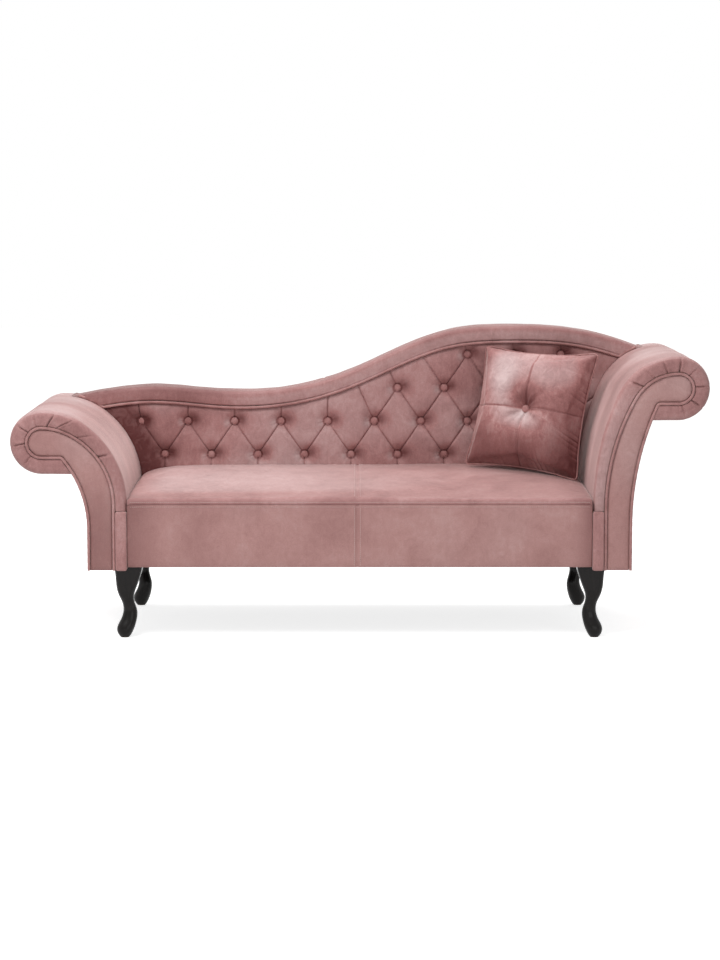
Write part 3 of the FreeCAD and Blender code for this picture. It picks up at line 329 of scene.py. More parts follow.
# Materials
class Nodes:
    """Short calls for building one material's node tree on object coordinates."""

    def __init__(self, name, roughness, metallic=0.0):
        self.material = bpy.data.materials.new(name)
        self.material.use_nodes = True
        self.tree = self.material.node_tree
        self.shader = self.tree.nodes["Principled BSDF"]
        self.shader.inputs["Roughness"].default_value = roughness
        self.shader.inputs["Metallic"].default_value = metallic
        self.place = self.tree.nodes.new("ShaderNodeTexCoord").outputs["Object"]

    def new(self, kind, **inputs):
        """A node with its named inputs set or linked."""
        node = self.tree.nodes.new(kind)
        for name, value in inputs.items():
            self.feed(node, name.replace("_", " "), value)
        return node

    def feed(self, node, name, value):
        """Links an input to a socket, or sets it to a value."""
        socket = node.inputs[name]
        if isinstance(value, bpy.types.NodeSocket):
            self.tree.links.new(value, socket)
        else:
            socket.default_value = value

    def stretched(self, scale, turn=(0, 0, 0)):
        """Object coordinates, scaled and turned, for a pattern with a direction."""
        mapping = self.new("ShaderNodeMapping", Vector=self.place, Scale=scale, Rotation=turn)
        return mapping.outputs["Vector"]

    def noise(self, scale, detail=3.0, rough=0.5, place=None, distortion=0.0):
        """Fractal noise from 0 to 1 at a scale in waves per metre."""
        node = self.new("ShaderNodeTexNoise", Vector=place or self.place, Scale=scale, Detail=detail)
        self.feed(node, "Roughness", rough)
        self.feed(node, "Distortion", distortion)
        return node.outputs["Fac"]

    def ramp(self, factor, *stops):
        """Colours by factor: each stop is a place from 0 to 1 and a colour."""
        node = self.new("ShaderNodeValToRGB", Fac=factor)
        band = node.color_ramp
        while len(band.elements) < len(stops):
            band.elements.new(0.5)
        for element, (at, colour) in zip(band.elements, stops):
            element.position = at
            element.color = (*colour, 1.0)
        return node.outputs["Color"]

    def grey(self, factor, low, high, start=0.0, end=1.0):
        """A number from low to high as factor goes from start to end."""
        node = self.new("ShaderNodeMapRange", Value=factor)
        self.feed(node, "From Min", start)
        self.feed(node, "From Max", end)
        self.feed(node, "To Min", low)
        self.feed(node, "To Max", high)
        return node.outputs["Result"]

    def times(self, a, b):
        """The product of two numbers."""
        node = self.new("ShaderNodeMath")
        node.operation = "MULTIPLY"
        self.tree.links.new(a, node.inputs[0])
        self.tree.links.new(b, node.inputs[1])
        return node.outputs[0]

    def mixed(self, factor, a, b, blend="MIX"):
        """Colours or sockets a and b, mixed or blended by a factor."""
        node = self.tree.nodes.new("ShaderNodeMix")
        node.data_type = "RGBA"
        node.blend_type = blend
        self.feed(node, "Factor", factor)
        for socket, value in ((node.inputs[6], a), (node.inputs[7], b)):
            if isinstance(value, bpy.types.NodeSocket):
                self.tree.links.new(value, socket)
            else:
                socket.default_value = (*value, 1.0)
        return node.outputs[2]

    def bump(self, *layers):
        """Bump from pairs of height and depth in metres, one on top of another."""
        normal = None
        for height, depth in layers:
            node = self.new("ShaderNodeBump", Height=height, Distance=depth, Strength=1.0)
            if normal:
                self.tree.links.new(normal, node.inputs["Normal"])
            normal = node.outputs["Normal"]
        self.tree.links.new(normal, self.shader.inputs["Normal"])

    def finish(self, colour, **sockets):
        """Sets the colour and any other shader inputs, and gives the material back."""
        self.feed(self.shader, "Base Color", colour)
        for name, value in sockets.items():
            self.feed(self.shader, name.replace("_", " "), value)
        return self.material


# Attribute of painted shade and painted light over uneven strokes of tone, and the painted shade tone and
# painted light tone at its two ends
PAINTED_LIGHT_ATTRIBUTE = "pile"
PAINTED_SHADE_TONE = (0.110, 0.030, 0.029)
PAINTED_LIGHT_TONE = (0.700, 0.590, 0.585)
SHEEN_TINT = (1.0, 0.82, 0.79, 1.0)


def paint_light_and_shade(obj, values):
    """Paints light and shade into the cloth's colour: up to one for painted shade, down to minus one for
    a painted highlight, over uneven strokes of tone. values takes the mesh's points as x, y and z."""
    marks = np.clip(values(*points_of(obj).T), -1, 1)
    layer = obj.data.attributes.new(PAINTED_LIGHT_ATTRIBUTE, "FLOAT", "POINT")
    layer.data.foreach_set("value", marks.astype(np.float32))


def velvet(name, deep, middle, light, sheen, crush, spread=(0.30, 0.52, 0.78)):
    """Short-napped cloth: patches of nap that lie different ways, a fine nap, a soft sheen, and painted
    shade or a painted highlight where the mesh's attribute marks it. spread gives the places of the three
    tones in the noise."""
    n = Nodes(name, 0.62)
    broad = n.noise(7.0, 4.0, 0.55, distortion=0.6)
    patch = n.noise(34.0, 6.0, 0.68, distortion=1.2)
    streak = n.noise(90.0, 4.0, 0.7, n.stretched((1.0, 1.0, 0.35)), 0.8)
    nap = n.noise(330.0, 4.0, 0.78)
    blend = n.mixed(0.40, broad, patch)
    blend = n.mixed(crush, blend, streak)
    colour = n.ramp(blend, (spread[0], deep), (spread[1], middle), (spread[2], light))
    colour = n.mixed(0.32, colour, n.ramp(nap, (0.3, deep), (0.7, light)), "OVERLAY")
    painted_marks = n.new("ShaderNodeAttribute")
    painted_marks.attribute_name = PAINTED_LIGHT_ATTRIBUTE
    ragged = n.grey(patch, 0.75, 1.25, 0.3, 0.7)
    down = n.times(painted_marks.outputs["Fac"], ragged)
    # Painted light and shade: positive marks mix the colour towards the painted shade tone, negative ones
    # towards the painted light tone
    colour = n.mixed(n.grey(down, 0.0, 1.0), colour, PAINTED_SHADE_TONE)
    colour = n.mixed(n.grey(down, 1.0, 0.0, -1.0, 0.0), colour, PAINTED_LIGHT_TONE)
    n.feed(n.shader, "Roughness", n.grey(patch, 0.5, 0.72, 0.3, 0.7))
    n.bump((patch, 1.1 * MM), (streak, 0.5 * MM), (nap, 0.12 * MM))
    return n.finish(colour, Sheen_Weight=sheen, Sheen_Tint=SHEEN_TINT, Sheen_Roughness=0.38,
                    Specular_IOR_Level=0.22)


ROSE = velvet("pink_velvet", (0.200, 0.088, 0.085), (0.410, 0.232, 0.224), (0.620, 0.450, 0.440),
              0.55, 0.25, (0.26, 0.52, 0.82))
ROSE_SOFT = velvet("pink_velvet_panels", (0.290, 0.150, 0.143), (0.435, 0.262, 0.248),
                   (0.580, 0.430, 0.415), 0.45, 0.15, (0.22, 0.52, 0.88))
CRUSHED = velvet("crushed_velvet", (0.150, 0.050, 0.048), (0.370, 0.185, 0.178), (0.680, 0.490, 0.475),
                 0.65, 0.2, (0.30, 0.50, 0.74))
PIPING = velvet(
    "velvet_piping", (0.240, 0.110, 0.106), (0.430, 0.250, 0.240), (0.600, 0.430, 0.420), 0.6, 0.1)
BUTTON_CLOTH = velvet(
    "velvet_buttons", (0.230, 0.100, 0.096), (0.410, 0.220, 0.212), (0.600, 0.420, 0.410), 0.6, 0.1)


def lacquer():
    """Near black lacquer over carved wood: faint grain, soft brushstroke waves and duller, rubbed
    patches.
    """
    n = Nodes("black_lacquered_wood", 0.3)
    grain = n.noise(120.0, 4.0, 0.6, n.stretched((1.0, 1.0, 0.12)), 0.4)
    waves = n.noise(26.0, 2.0, 0.5)
    worn = n.noise(60.0, 5.0, 0.65)
    colour = n.ramp(grain, (0.3, (0.0035, 0.0026, 0.0025)), (0.7, (0.0085, 0.0065, 0.0062)))
    n.feed(n.shader, "Roughness", n.grey(worn, 0.30, 0.48, 0.35, 0.7))
    n.bump((waves, 0.5 * MM), (grain, 0.12 * MM))
    return n.finish(colour, Coat_Weight=0.16, Coat_Roughness=0.08, Specular_IOR_Level=0.1)


def timber(name, dark, pale, along):
    """Planed timber or plywood: growth rings drawn out along the piece, with fine pores."""
    n = Nodes(name, 0.6)
    rings = n.noise(30.0, 4.0, 0.6, n.stretched(along), 2.5)
    pores = n.noise(420.0, 2.0, 0.6, n.stretched(along))
    colour = n.ramp(rings, (0.3, dark), (0.55, pale), (0.8, dark))
    colour = n.mixed(0.2, colour, n.ramp(pores, (0.35, dark), (0.65, pale)), "MULTIPLY")
    n.bump((rings, 0.3 * MM), (pores, 0.15 * MM))
    return n.finish(colour)


def fibre(name, dark, pale, scale, rough=0.85):
    """Felt, foam, wadding or fleece: a matt mass of fine clumps at one scale."""
    n = Nodes(name, rough)
    clump = n.noise(scale, 5.0, 0.7)
    fleck = n.noise(scale * 6, 2.0, 0.5)
    colour = n.ramp(clump, (0.3, dark), (0.7, pale))
    n.bump((clump, 0.6 * MM), (fleck, 0.2 * MM))
    return n.finish(n.mixed(0.3, colour, n.ramp(fleck, (0.3, dark), (0.7, pale))), Sheen_Weight=0.2)


def plated():
    """Zinc plate on steel: small pale spangles and fine scuffs."""
    n = Nodes("zinc_steel", 0.35, 1.0)
    spangle = n.new("ShaderNodeTexVoronoi", Vector=n.place, Scale=180.0).outputs["Color"]
    scuff = n.noise(300.0, 3.0, 0.6, n.stretched((1.0, 0.15, 1.0)))
    colour = n.mixed(spangle, (0.46, 0.47, 0.48), (0.62, 0.63, 0.62))
    n.feed(n.shader, "Roughness", n.grey(scuff, 0.25, 0.5))
    n.bump((scuff, 0.05 * MM))
    return n.finish(colour)


WOOD = timber("frame_wood", (0.30, 0.17, 0.075), (0.52, 0.36, 0.19), (0.15, 1.0, 1.0))
PLY = timber("plywood", (0.36, 0.23, 0.12), (0.56, 0.42, 0.26), (0.2, 0.2, 1.0))
LACQUER = lacquer()
STEEL = plated()
FOAM = fibre("foam", (0.62, 0.55, 0.34), (0.78, 0.72, 0.50), 260.0)
FELT = fibre("felt", (0.10, 0.10, 0.11), (0.32, 0.31, 0.30), 140.0)
WADDING = fibre("polyester_filling", (0.70, 0.70, 0.69), (0.86, 0.86, 0.85), 90.0)
FLEECE = fibre("black_nonwoven", (0.008, 0.008, 0.009), (0.030, 0.030, 0.032), 320.0)
GLIDE = fibre("felt_glide", (0.05, 0.035, 0.025), (0.13, 0.10, 0.08), 300.0)
TWINE = fibre("nylon_twine", (0.52, 0.50, 0.45), (0.74, 0.72, 0.67), 500.0, 0.5)
PALE_THREAD = fibre("pale_thread", (0.50, 0.33, 0.31), (0.72, 0.55, 0.53), 500.0, 0.6)
BY_SLOT = {
    "frame_wood": WOOD, "plywood": PLY, "black_lacquered_wood": LACQUER, "zinc_steel": STEEL,
    "foam": FOAM,
    "felt": FELT, "polyester_filling": WADDING, "black_nonwoven": FLEECE, "felt_glide": GLIDE,
    "nylon_twine": TWINE, "pink_velvet": ROSE, "crushed_velvet": CRUSHED, "velvet_piping": PIPING,
    "velvet_buttons": BUTTON_CLOTH,
}


def dress_nodes():
    """Every CAD node gets the material of its slot in the record."""
    for part in frame["record"]["subparts"]:
        mesh = frame["nodes"][part["node"]].data
        mesh.materials.clear()
        mesh.materials.append(BY_SLOT[part["material_slot"]])


dress_nodes()


# Arms
PLEAT_DEPTH = 0.0062
PLEAT_WIDTH = 0.0026
PLEAT_LEAN = 0.010
PUFF_HEIGHT = 0.0016
PUFF_AWAY = 0.008
PUFF_WIDTH = 0.006
BAND_SINK = 0.0009
BAND_REACH = 0.045
EDGE_ROUND = 0.020
RIM = 0.005
PANEL_INSET = 0.0072
PANEL_STEP = 0.0045
PANEL_LOW = 0.0068
PANEL_RISE = 0.0062
PANEL_BANK = 0.007
WELT_INSET = 0.0040
WELT_RADIUS = 0.0037


def arm_lines(arm, inset_roll, inset_foot):
    """The arm's long outline from the foot on the seat side to the neck, as points and unit steps along
    it."""
    line = joined(arm_curve(arm, inset_roll, inset_foot, PAD_LOW, 4))
    steps = np.r_[0, np.cumsum(np.linalg.norm(np.diff(line, axis=0), axis=1))]
    return line, steps


def pad_section(depth):
    """Across the pad from the inside of the facing end, over the band and its rounded edge, along the
    depth and back: each point is a share of the thickness inwards and a place in y."""
    y = FACING_Y - 0.001
    rim = np.linspace(0, np.pi / 2, 6)
    edge = np.linspace(0, np.pi / 2, 12)
    inner = depth - RIM
    front = [(depth, -BOARD_Y)]
    front += [(inner + RIM * np.cos(t), -(y - RIM) - RIM * np.sin(t)) for t in rim]
    band = np.linspace(0, 1, 8)[1:-1]
    front += [(inner - (inner - EDGE_ROUND) * t, -y - 0.0012 * math.sin(np.pi * t)) for t in band]
    front += [
        (EDGE_ROUND - EDGE_ROUND * np.sin(t), -(y - EDGE_ROUND) - EDGE_ROUND * np.cos(t))
        for t in edge
    ]
    front = np.array(front)
    flat_y = np.linspace(-(y - EDGE_ROUND), y - EDGE_ROUND, 40)[1:-1]
    middle = np.stack([0 * flat_y, flat_y], -1)
    return np.vstack([front, middle, front[::-1] * (1, -1)])


def arm_pad(arm):
    """Long padded band over the arm: its section is swept between the outer and the inner outline. Pleats
    are narrow gaussian creases across the band that fade over its edge, and broad swells lie between
    them."""
    outer, steps = arm_lines(arm, 0, 0)
    inner, _ = arm_lines(arm, PAD_DEPTH, PAD_FOOT)
    section = pad_section(PAD_DEPTH)
    share = (section[:, 0] / PAD_DEPTH)[None, :, None]
    flat = outer[:, None] + (inner - outer)[:, None] * share
    x, z = flat[..., 0], flat[..., 1]
    y = np.broadcast_to(section[:, 1], x.shape)
    thick = np.linalg.norm(inner - outer, axis=1)
    inward = (inner - outer) / thick[:, None]
    along = steps[:, None]
    edge = np.abs(y) - (FACING_Y - BAND_REACH)
    near = smoothstep(0.0, 0.04, edge)
    crease = np.zeros_like(x)
    puff = np.zeros_like(x)
    for k, mark in enumerate(arm.pleats):
        lean = PLEAT_LEAN * math.sin(7.3 * k + arm.side) * share[..., 0]
        size = 0.75 + 0.35 * math.sin(4.1 * k + 1.3)
        away = np.abs(along - mark - lean)
        crease += size * np.exp(-(away / PLEAT_WIDTH) ** 2)
        puff += size * np.exp(-((away - PUFF_AWAY) / PUFF_WIDTH) ** 2)
    inwards = 0.12 + 0.88 * smoothstep(0.10, 0.45, share[..., 0])
    sink = near * (PLEAT_DEPTH * crease - PUFF_HEIGHT * puff + BAND_SINK) * inwards
    past_round = smoothstep(EDGE_ROUND * 0.2, EDGE_ROUND, section[:, 0])[None]
    front_face = smoothstep(0.010, 0.022, edge) * past_round
    y = y - np.sign(y) * sink * front_face
    rest = wobble(x, y, z, 0.05, 3 + arm.side) * 0.0008 + wobble(x, y, z, 0.016, 5 + arm.side) * 0.0003
    lift = (sink * (1 - front_face) + rest) * (1 - share[..., 0])
    x = arm.side * (x + inward[:, None, 0] * lift)
    z = z + inward[:, None, 1] * lift
    rings = np.stack([x, y, z], -1)
    pad = tube_object(f"{arm.name}_arm_velvet_pad", rings, ROSE)
    # Painted light and shade: a painted highlight on the crown, painted shade in the corner by the seat
    paint_light_and_shade(pad, lambda x, y, z: arm_shade(arm, x, y, z))
    return settle(pad, "pink_velvet", f"{arm.name}_arm_pad", fill=0.9)


def arm_shade(arm, x, y, z):
    """Painted light and shade on the arm's pad: a painted highlight over the crown and painted shade in
    the corner by the seat, over long uneven strokes of tone."""
    strokes = wobble(x * 0.5, y * 2.2, z * 0.5, 0.050, 15 + arm.side) * 0.20
    band = np.abs(y) > FACING_Y - 0.006
    crown = smoothstep(0.06, 0.0, arm.top - z) * ~band
    corner = smoothstep(0.16, 0.0, z - PAD_LOW) * smoothstep(-0.1, 0.25, y)
    outside = smoothstep(0.76, 0.82, np.abs(x)) * ~band
    # Painted highlight over the crown and slightly on the band; painted shade in the corner by the seat
    # and slightly outside
    return strokes + 0.16 - 0.36 * crown + 0.55 * corner + 0.05 * outside - 0.10 * band


def inside_points(outline, step):
    """Points of an even lattice that lie inside a closed outline, by counting crossings to one side."""
    low, high = outline.min(0), outline.max(0)
    x, z = np.meshgrid(np.arange(low[0], high[0], step), np.arange(low[1], high[1], step))
    x, z = x.ravel() + 0.31 * step * (np.arange(x.size) // 7 % 2), z.ravel()
    a, b = outline, np.roll(outline, -1, 0)
    over = (a[:, 1] > z[:, None]) != (b[:, 1] > z[:, None])
    rise = np.where(np.abs(b[:, 1] - a[:, 1]) < 1e-12, 1e-12, b[:, 1] - a[:, 1])
    at = (b[:, 0] - a[:, 0]) * (z[:, None] - a[:, 1]) / rise + a[:, 0]
    crossings = (over & (x[:, None] < at)).sum(1)
    keep = crossings % 2 == 1
    places = np.stack([x, z], -1)[keep]
    return places[rim_distance(places, outline) > step * 0.45]


def rim_distance(places, outline):
    """How far each place is from the nearest point of a finely stepped outline."""
    away = np.full(len(places), np.inf)
    for chunk in np.array_split(outline, 12):
        away = np.minimum(away, np.hypot(*(places[:, None] - chunk).transpose(2, 0, 1)).min(1))
    return away


def facing_shade(arm, x, z):
    """Soft uneven strokes of tone, with painted shade towards the foot of the left arm."""
    # Painted shade towards the foot of the left arm
    low = 0.40 * smoothstep(0.46, 0.26, z) * (arm.side < 0)
    return wobble(x, 0, z, 0.05, 17 + arm.side) * 0.12 + low


def facing_object(arm, place):
    """Padded end panel: its outline is filled with small triangles, and the face stands out as a low dome
    that rises from the welt by one minus an exponential of the distance, with shallow dents in the
    cloth."""
    sign = -1 if place == "front" else 1
    outline = soften(facing_outline(arm, PANEL_INSET, 700), 4)
    inner = inside_points(outline, PANEL_STEP)
    flat = np.vstack([outline, inner])
    count = len(outline)
    rim = [(k, (k + 1) % count) for k in range(count)]
    filled = delaunay_2d_cdt([Vector(v) for v in flat.tolist()], rim, [], 1, 1e-6)
    flat = np.array([tuple(v) for v in filled[0]])
    rise = 1 - np.exp(-rim_distance(flat, outline) / PANEL_BANK)
    dent = wobble(flat[:, 0], 0, flat[:, 1], 0.030, 11 + arm.side) * 0.0008
    dent = dent + wobble(flat[:, 0], 0, flat[:, 1], 0.009, 13) * 0.0002
    y = FACING_Y - PANEL_LOW + (PANEL_RISE + dent) * rise
    front = np.stack([arm.side * flat[:, 0], sign * y, flat[:, 1]], -1)
    rear_y = np.full(count, sign * (BOARD_Y + 0.0004))
    rear = np.stack([arm.side * outline[:, 0], rear_y, outline[:, 1]], -1)
    base = len(flat)
    walls = [(a, b, base + b, base + a) for a, b in rim]
    obj = make_object(f"{arm.name}_arm_{place}_velvet_facing", np.vstack([front, rear]),
                      [list(face) for face in filled[2]] + walls + [list(range(base, base + count))],
                      ROSE_SOFT)
    # Painted shade towards the foot of the left arm's facing, over uneven strokes of tone
    paint_light_and_shade(obj, lambda x, y, z: facing_shade(arm, x, z))
    return settle(obj, "pink_velvet", f"{arm.name}_arm_{place}_facing", fill=0.8)


def piped(name, path, radius, closed, *nodes):
    """Piping: a round cord with a fine ripple of its cloth, run along a path."""
    rings = cord_rings(path, radius, 14, closed)
    count = len(path)
    ripple = 0.00022 * np.sin(np.arange(count) * 1.9) + 0.00015 * np.sin(np.arange(count) * 0.37)
    rings = path[:, None] + (rings - path[:, None]) * (1 + ripple / radius)[:, None, None]
    obj = ring_object(name, rings, PIPING) if closed else tube_object(name, rings, PIPING)
    return settle(obj, "velvet_piping", *nodes)


def arm_welt(arm, place):
    """The cord round an end panel, from foot to foot, along its outline drawn in and softened."""
    sign = -1 if place == "front" else 1
    line = facing_outline(arm, WELT_INSET, 900)
    line = line[np.arange(900) < np.flatnonzero(line[:, 1] > ARM_LOW + 0.0006).max() + 2]
    for _ in range(14):
        line[1:-1] = (line[:-2] + 2 * line[1:-1] + line[2:]) / 4
    path_y = np.full(len(line), sign * (FACING_Y - 0.0036))
    path = np.stack([arm.side * line[:, 0], path_y, line[:, 1]], -1)
    return piped(f"{arm.name}_arm_{place}_velvet_welt", path, WELT_RADIUS, False,
                 f"{arm.name}_arm_{place}_welt")


made = []
for arm in ARMS:
    made.append(arm_pad(arm))
    for place in ("front", "rear"):
        made.append(facing_object(arm, place))
        made.append(arm_welt(arm, place))


# Back
PITCH = 0.1284
CLOTH_DEEP = 0.2045
CLOTH_FRONT = 0.1885
SWELL = 0.0145
CREASE_CUT = 0.40
CREASE_WIDTH = 0.0014
VALLEY_CUT = 0.15
VALLEY_WIDTH = 0.012
DIMPLE = 0.0155
DIMPLE_WIDTH = 0.021
GATHER = 0.0008
BUTTON_Y = 0.2115
BUTTON_RADIUS = 0.0110
BUTTON_HEIGHT = 0.0072
ROLL_FRONT = 0.1865
ROLL_REAR = 0.302
ROLL_SEAM_X = -0.098
BACK_WELT_DROP = 0.0455
BACK_WELT_Y = 0.1900
BACK_WELT_RADIUS = 0.0039
COVER_Y = 0.3030
ROWS = (
    (0.430, -0.5370 + PITCH * np.arange(9)),
    (0.522, -0.6012 + PITCH * np.arange(10)),
    (0.614, 0.1050 + PITCH * np.arange(4)),
    (0.706, 0.2976 + PITCH * np.arange(3)),
)
BUTTONS = np.array([(x, z) for z, row in ROWS for x in row])
RAIL_PLEATS = (
    ((-0.6012, 0.522), (-0.614, 0.60)), ((0.0408, 0.522), (-0.006, 0.625)),
    ((0.105, 0.614), (0.074, 0.680)), ((0.2334, 0.614), (0.172, 0.705)),
    ((0.2976, 0.706), (0.282, 0.760)), ((0.426, 0.706), (0.416, 0.760)),
    ((0.5544, 0.706), (0.551, 0.760)), ((0.5544, 0.706), (0.640, 0.640)),
    ((0.5544, 0.522), (0.660, 0.600)),
)


def back_domain(rows, columns, low, drop, gap):
    """Places in x and z that fill the back between the arms, from a level bottom to the lowered line of
    the top. The two limits depend on each other, so the places settle over a few rounds."""
    v = np.linspace(0, 1, rows)[:, None]
    u = np.linspace(0, 1, columns)[None]
    x = np.broadcast_to(u * 1.3 - 0.65, (rows, columns))
    left, right = ARMS
    for _ in range(12):
        z = low + v * (back_height(x) - drop - low)
        west = -np.minimum(arm_reach(left, z), -BACK_LINE[0, 0] - 0.006) + gap
        east = np.minimum(arm_reach(right, z), BACK_LINE[-1, 0] - 0.006) - gap
        x = west + u * (east - west)
    return x, z


def closed_sheet(name, x, y, z, rear, material):
    """A grid of points as the front of a slab, whose rim runs straight back to a flat rear."""
    rows, columns = x.shape
    points = np.stack([x, y, z], -1)
    ids = np.arange(rows * columns).reshape(rows, columns)
    ids = np.r_[ids[0], ids[1:, -1], ids[-1, -2::-1], ids[-2:0:-1, 0]]
    points = points.reshape(-1, 3)
    rim = points[ids]
    back = rim.copy()
    back[:, 1] = rear
    start = rows * columns
    count = len(rim)
    k = np.arange(count)
    after = (k + 1) % count
    walls = np.stack([ids[k], start + k, start + after, ids[after]], -1).tolist()
    fan = np.stack([start + k, np.full(count, start + count), start + after], -1).tolist()
    faces = grid_faces(rows, columns) + walls + fan
    return make_object(name, np.vstack([points, back, back.mean(0)]), faces, material)


def crease_segments():
    """Ends of every crease of the tufting: diagonals between rows, pleats down to the seat and up to the
    rail."""
    lines = []
    for (z0, row0), (z1, row1) in zip(ROWS, ROWS[1:]):
        for x0 in row0:
            for x1 in row1:
                if abs(abs(x1 - x0) - PITCH / 2) < 0.01:
                    lines.append(((x0, z0), (x1, z1)))
    lines += [((x, ROWS[0][0]), (x, 0.33)) for x in ROWS[0][1]]
    lines += [((x, ROWS[1][0]), (x + 0.002, 0.70)) for x in ROWS[1][1][1:5]]
    lines += list(RAIL_PLEATS)
    return lines


def segment_gaps(x, z):
    """Distance from each place to each crease, one crease at a time."""
    for (ax, az), (bx, bz) in crease_segments():
        dx, dz = bx - ax, bz - az
        t = np.clip(((x - ax) * dx + (z - az) * dz) / (dx * dx + dz * dz), 0, 1)
        yield np.hypot(x - ax - t * dx, z - az - t * dz)


def tuft_shade(x, y, z):
    """Painted light and shade on the back: painted shade in strokes beside each button and in a rim under
    it, a painted highlight on its other side, painted shade along the thin creases, and painted shade in
    the corner by the left arm."""
    mark = wobble(x, 0, z, 0.055, 25) * 0.16
    # Painted shade beside each button and in a ring round it, and a painted highlight on its other side
    for bx, bz in BUTTONS:
        away = np.hypot(x - bx, z - bz)
        side = np.hypot(x - bx - 0.019, z - bz - 0.005)
        pale = np.hypot(x - bx + 0.018, z - bz + 0.004)
        mark = mark + 0.80 * np.exp(-(side / 0.0185) ** 2)
        mark = mark + 0.7 * np.exp(-((away - 0.0115) / 0.0024) ** 2)
        mark = mark - 0.28 * np.exp(-(pale / 0.011) ** 2)
    # Painted shade along the thin creases
    line = np.zeros_like(x)
    for gap in segment_gaps(x, z):
        line = np.maximum(line, np.exp(-(gap / 0.0011) ** 2))
    # Painted shade in the corner by the left arm
    ends = smoothstep(0.115, 0.030, x + HALF_SEAT + 0.45 * (z - 0.38))
    return mark + 0.40 * line + 1.1 * ends - 0.06


def tufted_front(x, z):
    """Depth of the tufted cloth: full pillows, cut down towards every crease by one minus an exponential
    of the distance, with a gaussian dimple at each button, gathers that run out from it and a soft crush
    all over."""
    full = np.ones_like(x)
    for gap in segment_gaps(x, z):
        full *= 1 - CREASE_CUT * np.exp(-gap / CREASE_WIDTH) - VALLEY_CUT * np.exp(-gap / VALLEY_WIDTH)
    dimple = np.zeros_like(x)
    gather = np.zeros_like(x)
    for k, (bx, bz) in enumerate(BUTTONS):
        away = np.hypot(x - bx, z - bz)
        turn = np.arctan2(z - bz, x - bx)
        dimple += np.exp(-(away / DIMPLE_WIDTH) ** 2)
        fold = np.cos(9 * turn + 1.7 * k) + 0.6 * np.cos(14 * turn + 2.9 * k)
        gather += fold * smoothstep(0.007, 0.014, away) * np.exp(-(away / 0.022) ** 2)
    rail = 1 - np.exp(-np.maximum(back_height(x) - 0.046 - z, 0) / 0.008)
    crush = wobble(x, 0, z, 0.020, 21) * 0.0011 + wobble(x, 0, z, 0.008, 22) * 0.00045
    swell = SWELL * full * (0.3 + 0.7 * rail)
    return CLOTH_DEEP + DIMPLE * dimple - swell - GATHER * gather + crush * np.clip(full, 0.2, 1)


def tufted_back():
    """The buttoned pad: the tufted cloth over a fine grid, closed to a flat rear."""
    x, z = back_domain(230, 800, 0.346, 0.0462, 0.0004)
    y = np.maximum(tufted_front(x, z), CLOTH_FRONT)
    obj = closed_sheet("tufted_velvet_back", x, y, z, BACK_REAR - 0.0002, ROSE)
    # Painted shade by the buttons, along the creases and in the corner by the left arm, with painted
    # highlights beside the buttons
    paint_light_and_shade(obj, tuft_shade)
    return settle(obj, "pink_velvet", "back_tufted_pad", fill=0.85)


def dome_points(radius, height, rings, sides, seed):
    """A covered button: a flattened dome whose cloth gathers in fine folds towards the rim."""
    t = np.linspace(0.02, 1, rings)[:, None]
    turn = np.linspace(0, 2 * np.pi, sides, endpoint=False)[None]
    fold = 1 + 0.022 * t ** 4 * np.cos(15 * turn + seed)
    out = radius * np.sin(t * np.pi / 2) * fold
    lift = height * np.cos(t * np.pi / 2) ** 0.75 * (1 - 0.06 * np.exp(-(t / 0.2) ** 2))
    lift = np.broadcast_to(lift, out.shape)
    skirt = np.stack([out[-1] * 0.94, np.full(sides, -0.003)])
    across = np.vstack([out, skirt[:1]])
    up = np.vstack([lift, skirt[1:]])
    return across * np.cos(turn), across * np.sin(turn), up


def button_set(name, centres, frames, radius, height, node):
    """All buttons of one kind as one object. Each frame holds the directions right, up and outwards."""
    points, faces = [], []
    for k, (centre, axes) in enumerate(zip(centres, frames)):
        a, b, up = dome_points(radius, height, 9, 44, 1.3 * k)
        ring = centre + a[..., None] * axes[0] + b[..., None] * axes[1] + up[..., None] * axes[2]
        verts, quads = tube_mesh(ring)
        start = sum(len(p) for p in points)
        points.append(verts)
        faces += [[start + i for i in face] for face in quads]
    obj = make_object(name, np.vstack(points), faces, BUTTON_CLOTH)
    return settle(obj, "velvet_buttons", node)


def back_buttons():
    """A covered button at every meeting of creases."""
    count = len(BUTTONS)
    centres = np.stack([BUTTONS[:, 0], np.full(count, BUTTON_Y), BUTTONS[:, 1]], -1)
    axes = np.array([(1, 0, 0), (0, 0, 1), (0, -1, 0)], float)
    return button_set("back_velvet_buttons", centres, [axes] * count, BUTTON_RADIUS, BUTTON_HEIGHT,
                      "back_buttons")


def on_arms(x, z, clear):
    """Height z, lifted where it would sink into the crown of an arm."""
    left, right = ARMS
    floor_z = np.where(x < 0, arm_surface(left, x), arm_surface(right, x)) + clear
    return np.where(np.abs(x) > HALF_SEAT, np.maximum(z, floor_z), z)


def roll_shade(x, y, z):
    """Painted shade along the top edge and towards the left end, and a painted highlight along the front.
    """
    upper = smoothstep(0.018, 0.001, back_height(x) - z)
    front = smoothstep(0.20, 0.19, y) * (1 - upper)
    return 0.40 * upper + 0.30 * smoothstep(-0.25, -0.5, x) - 0.16 * front


def flattened(wave, power):
    """A sine or cosine drawn towards a square: its sign times its size to a power."""
    return np.sign(wave) * np.abs(wave) ** power


